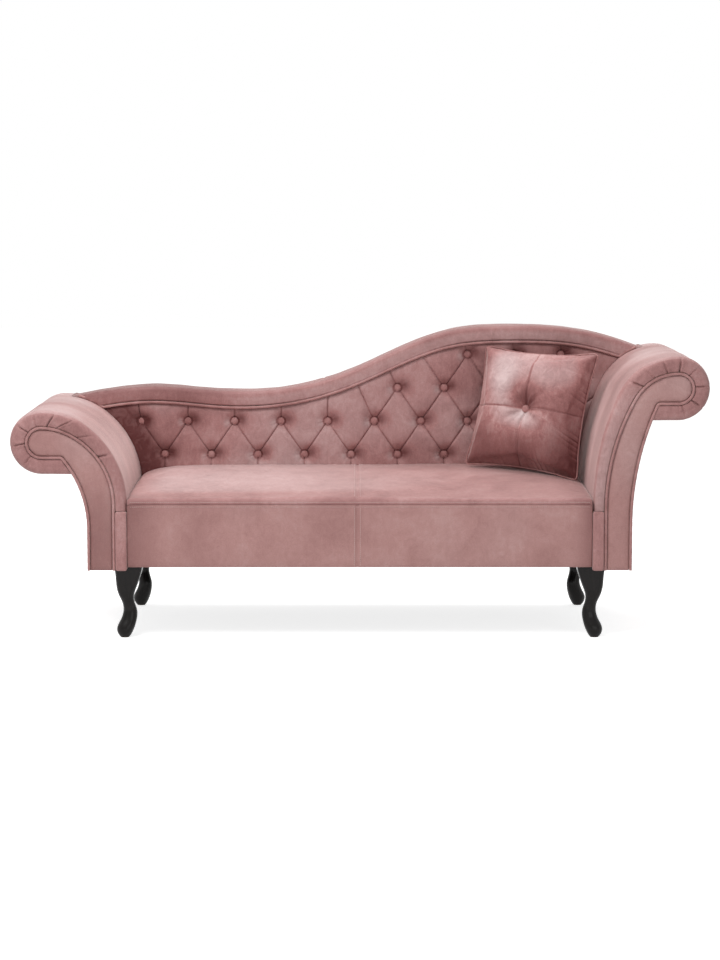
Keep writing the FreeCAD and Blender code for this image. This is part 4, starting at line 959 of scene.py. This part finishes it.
def top_roll():
    """Rounded rail of velvet along the line of the top. Its section is an ellipse drawn towards an
    oblong, nearly square below, with a stitched seam across it. It thins where it comes to rest on the
    arms."""
    path = resample(BACK_CURVE, 580)
    ahead = np.gradient(path, axis=0)
    ahead /= np.linalg.norm(ahead, axis=1, keepdims=True)
    normal = np.stack([-ahead[:, 1], ahead[:, 0]], -1)
    turn = np.linspace(0, 2 * np.pi, 48, endpoint=False)
    corner = np.where(np.sin(turn) < 0, 2 / 12, 2 / 4.4)
    half_deep = (ROLL_REAR - ROLL_FRONT) / 2
    a = flattened(np.cos(turn), 2 / 4.4) * half_deep
    b = flattened(np.sin(turn), corner) * ROLL_HEIGHT / 2
    drop = -ROLL_HEIGHT / 2 + b
    x = path[:, None, 0] + normal[:, None, 0] * drop
    z = path[:, None, 1] + normal[:, None, 1] * drop
    y = ROLL_FRONT + half_deep + np.broadcast_to(a, x.shape)
    swell = wobble(x, y, z, 0.035, 31) * 0.0009 + wobble(x, y, z, 0.012, 32) * 0.0003
    seam = np.exp(-((x - ROLL_SEAM_X) / 0.0028) ** 2) * 0.0018
    y = y + np.sign(a) * (swell - seam) * (np.abs(a) > half_deep * 0.5)
    z = z + (swell - seam) * np.clip(b / ROLL_HEIGHT * 2, 0, 1)
    rings = np.stack([x, y, on_arms(x, z, 0.0004)], -1)
    obj = tube_object("back_velvet_roll", rings, ROSE)
    # Painted shade along the roll's top edge and left end, and a painted highlight along its front
    paint_light_and_shade(obj, roll_shade)
    return settle(obj, "pink_velvet", "back_top_roll", fill=0.9)


def back_welt():
    """The cord under the rail, along the lowered line of the top and over the arms' crowns."""
    line = resample(BACK_CURVE, 760)
    line = line[(line[:, 0] > BACK_LINE[0, 0] + 0.02) & (line[:, 0] < BACK_LINE[-1, 0] - 0.02)]
    z = on_arms(line[:, 0], line[:, 1] - BACK_WELT_DROP, 0.0036)
    path = np.stack([line[:, 0], np.full(len(line), BACK_WELT_Y), z], -1)
    return piped("back_velvet_welt", path, BACK_WELT_RADIUS, False, "back_welt")


def outer_back():
    """Plain cloth stretched over the rear, very slightly full in the middle."""
    x, z = back_domain(90, 220, 0.1885, 0.0450, 0.0008)
    u = np.clip((HALF_SEAT - np.abs(x)) / 0.03, 0, 1)
    full = 0.0022 * u + wobble(x, 0, z, 0.06, 41) * 0.0005
    obj = closed_sheet("outer_velvet_back", x, COVER_Y + full, z, 0.2968, ROSE_SOFT)
    return settle(obj, "pink_velvet", "back_outer_cover", fill=0.7)


made += [tufted_back(), back_buttons(), top_roll(), back_welt(), outer_back()]


# Seat
SEAT_FRONT = -0.302
SEAT_BACK = 0.1912
NOSE = 0.016
CROWN = 0.052
END_DROP = 0.026
END_ROUND = 0.055
SEAM_X = -0.006
SEAT_END = 0.5994
BORDER_FRONT = -0.3014
BORDER_MOST = -0.3045
BORDER_REAR = -0.2845
OUTER_HALF = 0.2914
STITCH_PITCH = 0.0052
STITCH_LENGTH = 0.0036
STITCH_RADIUS = 0.0006
STITCH_ASIDE = 0.0075


def seam_groove(x, width, depth):
    """A seam seen across x: a sharp valley with the cloth standing up slightly on both sides."""
    away = (x - SEAM_X) / width
    return depth * (np.exp(-away ** 2) - 0.28 * np.exp(-((np.abs(away) - 2.6) / 1.3) ** 2))


def seat_top(x, y):
    """Height of the seat: a quarter round nose at the front, then a crown that rises to the back and
    falls by an exponential at both ends, cut by the middle seam, with broad hollows and fine crush in the
    cloth."""
    end = HALF_SEAT - np.abs(x)
    crown = CROWN - END_DROP * np.exp(-end / END_ROUND)
    into = y - SEAT_FRONT
    nose = NOSE * np.sqrt(np.clip(1 - (1 - np.clip(into / NOSE, 0, 1)) ** 2, 0, 1))
    share = np.clip(into / (SEAT_BACK - SEAT_FRONT), 0, 1)
    rise = (crown - NOSE) * (1 - (1 - share) ** 2.4)
    fade = smoothstep(0, 0.02, into)
    sag = wobble(x, y, 0, 0.11, 51) * 0.0018 + wobble(x, y, 0, 0.03, 52) * 0.0007
    crush = wobble(x, y, 0, 0.010, 53) * 0.00035
    return SEAT_SEAM + nose + rise - seam_groove(x, 0.0034, 0.0030) * fade + (sag + crush - 0.0012) * fade


def seat_shade(x, y, z):
    """Painted light and shade on the seat: a painted highlight along the top and on the left, and painted
    shade at the ends and at the back.
    """
    strokes = wobble(x * 0.35, y, 0, 0.045, 55) * 0.10
    ends = smoothstep(0.10, 0.0, HALF_SEAT - np.abs(x))
    pale = 0.34 * smoothstep(-0.28, -0.2, y) * smoothstep(0.4, -0.3, x)
    return 0.5 * strokes + 0.06 - pale + 0.30 * ends


def seat_pad():
    """The seat's cover: a fine grid over its top, closed below, with its ends turned down."""
    x = np.linspace(-SEAT_END, SEAT_END, 500)[:, None]
    round_nose = 0.0002 + NOSE * (1 - np.cos(np.linspace(0, np.pi / 2, 12)))
    into = np.r_[round_nose, np.linspace(0.018, 0.4925, 150)]
    y = (SEAT_FRONT + into)[None]
    x, y = np.broadcast_arrays(x, y)
    z = seat_top(x, y)
    z = z - 0.006 * np.exp(-(HALF_SEAT - np.abs(x)) / 0.006)
    low = np.full((x.shape[0], 1), SEAT_SEAM + 0.0002)
    ring_x = np.hstack([x, x[:, :1], x[:, :1]])
    ring_y = np.hstack([y, np.full_like(low, SEAT_BACK - 0.0005), np.full_like(low, SEAT_FRONT + 0.0004)])
    ring_z = np.hstack([z, low, low])
    obj = tube_object("seat_velvet_pad", np.stack([ring_x, ring_y, ring_z], -1), ROSE)
    # Painted light and shade on the seat's cover
    paint_light_and_shade(obj, seat_shade)
    return settle(obj, "pink_velvet", "seat_pad", fill=0.8)


def border_shade(x, y, z):
    """Painted shade at both ends of the front panel, in a ragged patch."""
    ragged = 0.06 + 0.04 * wobble(x, 0, z * 0.4, 0.020, 63)
    return 0.55 * np.exp(-(HALF_SEAT - np.abs(x)) / ragged) + 0.05 * wobble(x, 0, z, 0.05, 64)


def seat_border():
    """Front panel: it swells forwards in a low arc between the seam and its lower edge, split by the
    middle seam."""
    x = np.linspace(-SEAT_END, SEAT_END, 460)[:, None]
    share = np.linspace(0, 1, 50)[None]
    z = BODY_LOW + 0.0006 + (SEAT_SEAM - 0.0001 - BODY_LOW) * share
    x, z = np.broadcast_arrays(x, z)
    rise = np.sin(np.pi * share) ** 0.8
    ripple = wobble(x, 0, z, 0.045, 61) * 0.0009 + wobble(x, 0, z, 0.012, 62) * 0.0003
    tuck = 0.0040 * np.exp(-share / 0.05) + 0.0011 * np.exp(-((share - 1) / 0.018) ** 2)
    y = BORDER_FRONT - (0.0022 + ripple) * rise + tuck + seam_groove(x, 0.0032, 0.0028)
    y = np.maximum(y, BORDER_MOST)
    rear = np.full((x.shape[0], 1), BORDER_REAR)
    ring_x = np.hstack([x, x[:, :1], x[:, :1]])
    ring_y = np.hstack([y, rear, rear])
    ring_z = np.hstack([z, z[:, -1:], z[:, :1]])
    obj = tube_object("seat_velvet_border", np.stack([ring_x, ring_y, ring_z], -1), ROSE_SOFT)
    # Painted shade at both ends of the front panel
    paint_light_and_shade(obj, border_shade)
    return settle(obj, "pink_velvet", "seat_front_border", fill=0.7)


def stitches(name, starts, ends, radius):
    """Rows of short raised stitches: each is a small spindle from start to end."""
    points, faces = [], []
    for k, (a, b) in enumerate(zip(starts, ends)):
        t = np.linspace(0, 1, 6)[:, None]
        core = a + (b - a) * t
        rings = cord_rings(core, 1.0, 6)
        thick = radius * np.sqrt(np.clip(1 - (2 * t - 1) ** 2, 0.04, 1))[:, :, None]
        verts, quads = tube_mesh(core[:, None] + (rings - core[:, None]) * thick)
        points.append(verts)
        faces += [[k * len(verts) + i for i in face] for face in quads]
    return settle(make_object(name, np.vstack(points), faces, PALE_THREAD), "velvet_piping")


def seam_stitches():
    """The twin rows beside the front seam and beside the middle seam."""
    along = np.arange(-0.592, 0.592, STITCH_PITCH)
    into = np.arange(SEAT_FRONT + 0.016, SEAT_BACK - 0.01, STITCH_PITCH)
    down = np.arange(BODY_LOW + 0.006, SEAT_SEAM - 0.010, STITCH_PITCH)
    starts, ends = [], []
    for z, y in ((SEAT_SEAM - 0.0060, -0.3024), (SEAT_SEAM + 0.0060, -0.3010)):
        starts += [np.array((x, y, z)) for x in along]
        ends += [np.array((x + STITCH_LENGTH, y, z)) for x in along]
    for x in (SEAM_X - STITCH_ASIDE, SEAM_X + STITCH_ASIDE):
        for line, step in ((starts, 0), (ends, STITCH_LENGTH)):
            high = seat_top(x, into + step) + 0.0002
            line += [np.array((x, y + step, z)) for y, z in zip(into, high)]
            line += [np.array((x, -0.3035, z + step)) for z in down]
    return stitches("seat_seam_stitches", starts, ends, STITCH_RADIUS)


def soft_box(name, low, high, corner, swell, material, seed, cuts=18):
    """A covered board: an oblong with rounded edges, whose faces swell towards their middles by a
    parabola along each side. The cuts crowd towards its edges by a sine."""
    low, high = np.array(low), np.array(high)
    work = bmesh.new()
    bmesh.ops.create_cube(work, size=2.0)
    bmesh.ops.subdivide_edges(work, edges=work.edges, cuts=cuts, use_grid_fill=True)
    work.verts.index_update()
    unit = np.sin(np.array([v.co for v in work.verts]) * np.pi / 2)
    faces = [[v.index for v in f.verts] for f in work.faces]
    work.free()
    half = (high - low) / 2
    place = unit * half
    core = np.clip(place, -(half - corner), half - corner)
    out = place - core
    length = np.linalg.norm(out, axis=1, keepdims=True)
    place = core + out / np.maximum(length, 1e-9) * np.minimum(length, corner)
    face = np.abs(unit) > 0.999
    for k in range(3):
        others = [i for i in range(3) if i != k]
        dome = np.prod(1 - unit[:, others] ** 2, axis=1) * swell
        place[:, k] += np.where(face[:, k], np.sign(unit[:, k]) * dome, 0)
    place += (low + high) / 2
    place[:, 1] += wobble(*place.T, 0.03, seed) * 0.0003
    return make_object(name, place, faces, material)


def arm_strips(arm):
    """The two covered strips beside the seat, below the arm's pad, at the front and at the rear."""
    pieces = []
    for place, y0, y1 in (("front", -0.3095, -0.2845), ("rear", 0.2925, 0.3095)):
        x0, x1 = sorted((arm.side * 0.6006, arm.side * 0.6296))
        low, high = (x0, y0, ARM_LOW + 0.0004), (x1, y1, PAD_LOW - 0.0012)
        piece = soft_box(f"{arm.name}_arm_{place}_velvet_strip", low, high, 0.005, 0.0004, ROSE, 71)
        pieces.append(settle(piece, "pink_velvet", fill=0.9))
    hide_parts(f"{arm.name}_arm_strips")
    return pieces


def outer_panel(arm):
    """Cloth over the outside of the arm, from its foot up the hollow neck to the underside of the
    roll."""
    top = arm.top - 2 * ROLL_RADIUS - 0.0006
    z = np.linspace(ARM_LOW + 0.0004, top, 90)[:, None]
    y = np.linspace(-OUTER_HALF, OUTER_HALF, 110)[None]
    z, y = np.broadcast_arrays(z, y)
    edge = np.clip((OUTER_HALF - np.abs(y)) / 0.02, 0, 1) * np.clip((z - ARM_LOW) / 0.02, 0, 1)
    full = 0.0018 * edge ** 0.5 + wobble(z, y, 0, 0.05, 81) * 0.0004
    face = neck_out(arm, z, 0) - 0.0022 + full
    rings = np.stack([arm.side * face, y, z], -1)
    inside = rings[:, ::-1].copy()
    inside[..., 0] = arm.side * (neck_out(arm, z, 0) - 0.0038)
    obj = tube_object(f"{arm.name}_arm_outer_velvet", np.concatenate([rings, inside], 1), ROSE_SOFT)
    return settle(obj, "pink_velvet", f"{arm.name}_arm_outer_panel", fill=0.6)


made += [seat_pad(), seat_border(), seam_stitches()]
for arm in ARMS:
    made += arm_strips(arm)
    made.append(outer_panel(arm))


# Throw cushion, in its own frame: x to the right, y through it, z up
CUSHION_HALF = 0.1735
CUSHION_CROWN = 0.057
CUSHION_PULL = 0.013
CUSHION_EDGE = 0.0022
CUSHION_DIMPLE = 0.027
CUSHION_BUTTON_SINK = 0.0195
SEAM_DEPTH = 0.0036
SEAM_WIDTH = 0.0022
FOLD_DEPTH = 0.0020
GATHER_DEPTH = 0.0044
CLOTH_STRETCH = 12
CLOTH_BEND = 0.35
CLOTH_FRAMES = 20
# Painted highlights on the cushion: size, place across, place up and spread of each
PAINTED_HIGHLIGHT_SPOTS = ((1, -0.5, 0.55, 0.16), (0.7, 0.45, 0.5, 0.12), (0.6, 0.12, -0.28, 0.05))
CUSHION_AT = np.array(Vector((0.464, 0.066, 0.5604)))
CUSHION_TURN = np.array((
    Matrix.Rotation(math.radians(-27), 3, "Z")
    @ Matrix.Rotation(math.radians(-15), 3, "X")
    @ Matrix.Rotation(math.radians(4), 3, "Y")
))


def into_cushion(points):
    """Points of the scene in the cushion's own frame."""
    return (points - CUSHION_AT) @ CUSHION_TURN


def out_of_cushion(points):
    """Points of the cushion's own frame in the scene."""
    return points @ CUSHION_TURN.T + CUSHION_AT


def cushion_shape(count):
    """A square cushion before it is filled: two sheets that meet at the edges, thin at the corners and
    drawn in between them. Its thickness falls by the product of a cosine along each side."""
    u = np.linspace(-1, 1, count)
    u = np.sign(u) * (1 - (1 - np.abs(u)) ** 1.25)
    u, v = np.meshgrid(u, u, indexing="ij")
    pull = CUSHION_PULL * 0.85
    x = u * (CUSHION_HALF - pull * np.cos(v * np.pi / 2) * np.abs(u) ** 3)
    z = v * (CUSHION_HALF - pull * np.cos(u * np.pi / 2) * np.abs(v) ** 3)
    full = (np.cos(u * np.pi / 2) * np.cos(v * np.pi / 2)) ** 0.62
    return x, z, full


def cushion_mesh(count, crown, edge):
    """The cushion's closed form: its front and rear sheets, joined by a thin wall round the rim."""
    x, z, full = cushion_shape(count)
    thick = edge + crown * full
    front = np.stack([x, -thick, z], -1)
    rear = np.stack([x, thick, z], -1)
    faces = grid_faces(count, count)
    flipped = [[count * count + i for i in reversed(face)] for face in faces]
    k = np.arange(count)
    rim = np.r_[k, k[1:] * count + count - 1, (count - 1) * count + k[-2::-1], k[-2:0:-1] * count]
    after = np.roll(rim, -1)
    walls = np.stack([rim, after, count * count + after, count * count + rim], -1).tolist()
    return np.vstack([front.reshape(-1, 3), rear.reshape(-1, 3)]), faces + flipped + walls


def swelled(obj, cap, voxel, pressure):
    """Blows the form up with cloth under pressure, so that real folds run in from its seams, and caps how
    far any point may move."""
    for other in bpy.context.selected_objects:
        other.select_set(False)
    obj.select_set(True)
    bpy.context.view_layer.objects.active = obj
    remesh = obj.modifiers.new("even mesh", "REMESH")
    remesh.mode = "VOXEL"
    remesh.voxel_size = voxel
    bpy.ops.object.modifier_apply(modifier=remesh.name)
    rest = points_of(obj)
    cloth = obj.modifiers.new("filling", "CLOTH")
    cloth.settings.use_pressure = True
    cloth.settings.uniform_pressure_force = pressure
    cloth.settings.tension_stiffness = CLOTH_STRETCH
    cloth.settings.compression_stiffness = CLOTH_STRETCH
    cloth.settings.bending_stiffness = CLOTH_BEND
    cloth.settings.effector_weights.gravity = 0
    cloth.point_cache.frame_start = 1
    cloth.point_cache.frame_end = CLOTH_FRAMES
    for number in range(1, CLOTH_FRAMES + 1):
        bpy.context.scene.frame_set(number)
    bpy.ops.object.modifier_apply(modifier=cloth.name)
    bpy.context.scene.frame_set(1)
    step = points_of(obj) - rest
    length = np.linalg.norm(step, axis=1, keepdims=True)
    moved = rest + step * np.minimum(1, cap / np.maximum(length, 1e-9))
    obj.data.vertices.foreach_set("co", moved.ravel())
    smooth = obj.modifiers.new("finer mesh", "SUBSURF")
    smooth.levels = smooth.render_levels = 2
    bpy.ops.object.modifier_apply(modifier=smooth.name)


def edge_gathers(x, z, shift):
    """Narrow slanting gathers that run in from the edges: one in the middle of each and nought between
    them. They are strongest along the right and the bottom, and uneven in length and spacing."""
    rim = CUSHION_HALF - np.maximum(np.abs(x), np.abs(z))
    sideways = np.abs(x) > np.abs(z)
    along = np.where(sideways, z + 0.55 * x, x + 0.35 * z) + shift
    strong_side = smoothstep(-0.05, 0.05, np.where(sideways, x, -z)) * smoothstep(-0.16, 0.12, x)
    strong = 0.12 + 0.88 * strong_side
    strong *= 0.45 + 0.55 * np.sin(along / 0.0114 + 0.8) ** 2
    reach = 0.013 + 0.010 * np.sin(along / 0.017 + 1.0)
    lines = np.exp(-(np.sin(along / 0.0068 + 2.3 * np.sin(along / 0.023)) / 0.42) ** 2)
    return lines * strong * np.exp(-np.maximum(rim - 0.018, 0) / reach)


def cushion_detail(obj):
    """Adds what sewing does to the filled form: a cross of seams, a deep dimple at the middle with folds
    that run out from it, and short gathers along the edges."""
    x, y, z = points_of(obj).T
    away = np.hypot(x, z)
    turn = np.arctan2(z, x)
    face = smoothstep(0.004, 0.020, np.abs(y))
    dimple = CUSHION_DIMPLE * np.exp(-(away / 0.034) ** 2)
    folds = np.cos(8 * turn + 0.6) + 0.7 * np.cos(13 * turn + 2.1)
    folds = FOLD_DEPTH * folds * smoothstep(0.010, 0.030, away) * np.exp(-(away / 0.060) ** 2)
    bend = 0.004 * np.sin(z / 0.045)
    lean = 0.003 * np.sin(x / 0.050 + 1.0)
    seams = SEAM_DEPTH * np.exp(-np.minimum(np.abs(x - bend), np.abs(z - lean)) / SEAM_WIDTH)
    gathers = GATHER_DEPTH * edge_gathers(x, z, 0.0)
    tuck = wobble(x, y, z, 0.018, 91) * 0.0016 + wobble(x, y, z, 0.045, 92) * 0.0030
    out = np.abs(y) - (dimple + folds + seams) * face + (tuck * 0.8 - gathers) * face
    y = np.sign(y) * np.clip(out, 0.0005, CUSHION_CROWN + 0.001)
    taller = np.where(z > 0, 1.030 + 0.034 * x / CUSHION_HALF, 1.010 + 0.018 * x / CUSHION_HALF)
    points = out_of_cushion(np.stack([x, y, z * taller], -1))
    obj.data.vertices.foreach_set("co", points.ravel())
    obj.data.polygons.foreach_set("use_smooth", [True] * len(obj.data.polygons))


def cushion_shade(x, y, z):
    """Painted light and shade on the cushion: painted highlights on the upper left of each quarter, and
    painted shade low down, at the edges and at the seams, with a painted highlight on each gather's ridge
    and on one side of the dimple."""
    flat = into_cushion(np.stack([x, y, z], -1))
    across, up = flat[:, 0], flat[:, 2]
    a, b = across / CUSHION_HALF, up / CUSHION_HALF
    away = np.hypot(a, b)
    turn = np.arctan2(b, a)
    strokes = wobble(across, 0, up * 0.6, 0.020, 95) * 0.16
    # Painted shade low down, on the right and in the edge gathers, with a painted highlight on the ridge
    # beside each gather
    low = 0.66 * smoothstep(0.0, -1.0, b) + 0.44 * smoothstep(0.2, 1.0, a)
    low = low + 0.65 * edge_gathers(across, up, 0.0) - 0.45 * edge_gathers(across, up, 0.0045)
    # Painted shade on one side of the middle dimple and a painted highlight on the other
    pit = np.exp(-(away / 0.30) ** 2) * 0.95 * np.sin(turn + 0.3)
    # Painted shade at the seams
    seam = np.maximum(np.exp(-(a / 0.012) ** 2), np.exp(-(b / 0.012) ** 2))
    pale = 0
    for size, at_a, at_b, spread in PAINTED_HIGHLIGHT_SPOTS:
        pale = pale + size * np.exp(-((a - at_a) ** 2 + (b - at_b) ** 2) / spread)
    return strokes + low + pit + 0.30 * seam - 0.38 * pale


def throw_cushion():
    """The filled cushion: blown up as cloth."""
    count, crown = ((90, 0.050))
    verts, faces = cushion_mesh(count, crown, CUSHION_EDGE)
    obj = make_object("throw_velvet_cushion", verts, faces, CRUSHED)
    swelled(obj, cap=0.010, voxel=0.0060, pressure=4.0)
    cushion_detail(obj)
    # Painted light and shade on the cushion
    paint_light_and_shade(obj, cushion_shade)
    return settle(obj, "crushed_velvet", "throw_cushion_cover", "throw_cushion_filling", fill=0.75)


def cushion_edge(cover):
    """The seam round the cushion: a thin cord along its rim, through the outermost point in each
    direction."""
    flat = into_cushion(points_of(cover))
    flat = flat[np.hypot(flat[:, 0], flat[:, 2]) > CUSHION_HALF * 0.8]
    angle = np.arctan2(flat[:, 2], flat[:, 0])
    away = np.hypot(flat[:, 0], flat[:, 2])
    corner = np.pi / 4 * np.array([1, 3, -3, -1])
    steps = np.linspace(-np.pi, np.pi, 361)[:-1]
    steps = np.sort(np.r_[steps, corner])
    near = np.abs((angle[None] - steps[:, None] + np.pi) % (2 * np.pi) - np.pi) < 0.016
    best = np.where(near, away[None], 0).argmax(1)
    reach = away[best]
    for _ in range(2):
        reach = (np.roll(reach, 1) + 4 * reach + np.roll(reach, -1)) / 6
    path = np.stack([reach * np.cos(steps), 0 * steps, reach * np.sin(steps)], -1)
    path = out_of_cushion(resample(np.vstack([path, path[:1]]), 521)[:-1])
    rings = cord_rings(path, 0.0019, 8, True)
    return settle(ring_object("throw_cushion_edge_seam", rings, CRUSHED), "crushed_velvet")


def cushion_buttons():
    """One covered button in the dimple on each side."""
    centres, frames = [], []
    for sign in (-1, 1):
        centres.append(out_of_cushion(np.array((0, sign * (CUSHION_CROWN - CUSHION_BUTTON_SINK), 0))))
        frames.append(np.array([(1, 0, 0), (0, 0, 1), (0, sign, 0)]) @ CUSHION_TURN.T)
    return button_set("throw_cushion_velvet_buttons", centres, frames, 0.0105, 0.0062,
                      "throw_cushion_buttons")


loose = [throw_cushion()]
loose += [cushion_edge(loose[0]), cushion_buttons()]
for piece in loose:
    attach(piece, "throw_cushion")


# Camera, light and floor
CAMERA_PLACE = (-0.012, -6.91, 1.177)
CAMERA_DOWN = 6.57
CAMERA_ASIDE = -0.11
CAMERA_LENS = 97.05
WORLD_LEVEL = 0.46
FLOOR_GLOW = 0.74
FLOOR_HALF = 14.0
LAMP_TARGET = (0, 0, 0.4)
LAMPS = (
    ("key", (2.0, 1.2), 70, (-1.6, -2.0, 3.4)),
    ("fill", (3.0, 2.0), 26, (1.8, -4.2, 1.5)),
    ("top", (3.0, 1.0), 57, (-0.3, 0.5, 3.0)),
)


def camera():
    """A long lens at the photograph's viewing angle."""
    lens = bpy.data.cameras.new("camera")
    lens.lens = CAMERA_LENS
    lens.sensor_width = 36.0
    lens.clip_end = 60.0
    obj = bpy.data.objects.new("camera", lens)
    obj.location = CAMERA_PLACE
    obj.rotation_euler = (math.radians(90 - CAMERA_DOWN), 0, math.radians(CAMERA_ASIDE))
    bpy.context.scene.collection.objects.link(obj)
    bpy.context.scene.camera = obj


def lamp(name, size, power, place):
    """A white oblong lamp that looks at the middle of the piece."""
    light = bpy.data.lights.new(name, "AREA")
    light.shape = "RECTANGLE"
    light.size, light.size_y = size
    light.energy = power
    obj = bpy.data.objects.new(name, light)
    obj.location = place
    aim = Vector(LAMP_TARGET) - Vector(place)
    obj.rotation_euler = aim.to_track_quat("-Z", "Y").to_euler()
    bpy.context.scene.collection.objects.link(obj)


def seen_directly(tree):
    """One where the camera sees a surface straight, in a mirror or through glass, and zero for diffuse
    light."""
    path = tree.nodes.new("ShaderNodeLightPath")
    total = path.outputs["Is Camera Ray"]
    for name in ("Is Glossy Ray", "Is Transmission Ray"):
        most = tree.nodes.new("ShaderNodeMath")
        most.operation = "MAXIMUM"
        tree.links.new(total, most.inputs[0])
        tree.links.new(path.outputs[name], most.inputs[1])
        total = most.outputs[0]
    return total


def world_light():
    """Even studio light, with a white backdrop for the camera."""
    world = bpy.data.worlds.new("studio")
    bpy.context.scene.world = world
    world.use_nodes = True
    tree = world.node_tree
    soft = tree.nodes["Background"]
    soft.inputs["Color"].default_value = (1, 1, 1, 1)
    soft.inputs["Strength"].default_value = WORLD_LEVEL
    white = tree.nodes.new("ShaderNodeBackground")
    white.inputs["Color"].default_value = (1, 1, 1, 1)
    white.inputs["Strength"].default_value = 1.0
    mix = tree.nodes.new("ShaderNodeMixShader")
    tree.links.new(seen_directly(tree), mix.inputs[0])
    tree.links.new(soft.outputs[0], mix.inputs[1])
    tree.links.new(white.outputs[0], mix.inputs[2])
    tree.links.new(mix.outputs[0], tree.nodes["World Output"].inputs["Surface"])


def floor():
    """A wide plain floor: pale for the light that bounces from it, and close to white for the camera,
    with a trace of the object's shadow."""
    points = [(x * FLOOR_HALF, y * FLOOR_HALF, 0) for x, y in ((-1, -1), (1, -1), (1, 1), (-1, 1))]
    material = bpy.data.materials.new("floor")
    material.use_nodes = True
    tree = material.node_tree
    shader = tree.nodes["Principled BSDF"]
    shader.inputs["Base Color"].default_value = (0.80, 0.80, 0.80, 1)
    shader.inputs["Roughness"].default_value = 0.9
    shader.inputs["Specular IOR Level"].default_value = 0.0
    shader.inputs["Emission Color"].default_value = (1, 1, 1, 1)
    glow = tree.nodes.new("ShaderNodeMath")
    glow.operation = "MULTIPLY"
    glow.inputs[1].default_value = FLOOR_GLOW
    tree.links.new(seen_directly(tree), glow.inputs[0])
    tree.links.new(glow.outputs[0], shader.inputs["Emission Strength"])
    obj = make_object("floor", points, [(0, 1, 2, 3)], material, False)


bpy.context.scene.view_settings.view_transform = "Standard"
camera()
world_light()
floor()
for lamp_sizes in LAMPS:
    lamp(*lamp_sizes)

for piece in made:
    if piece.parent is None:
        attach(piece, "root")
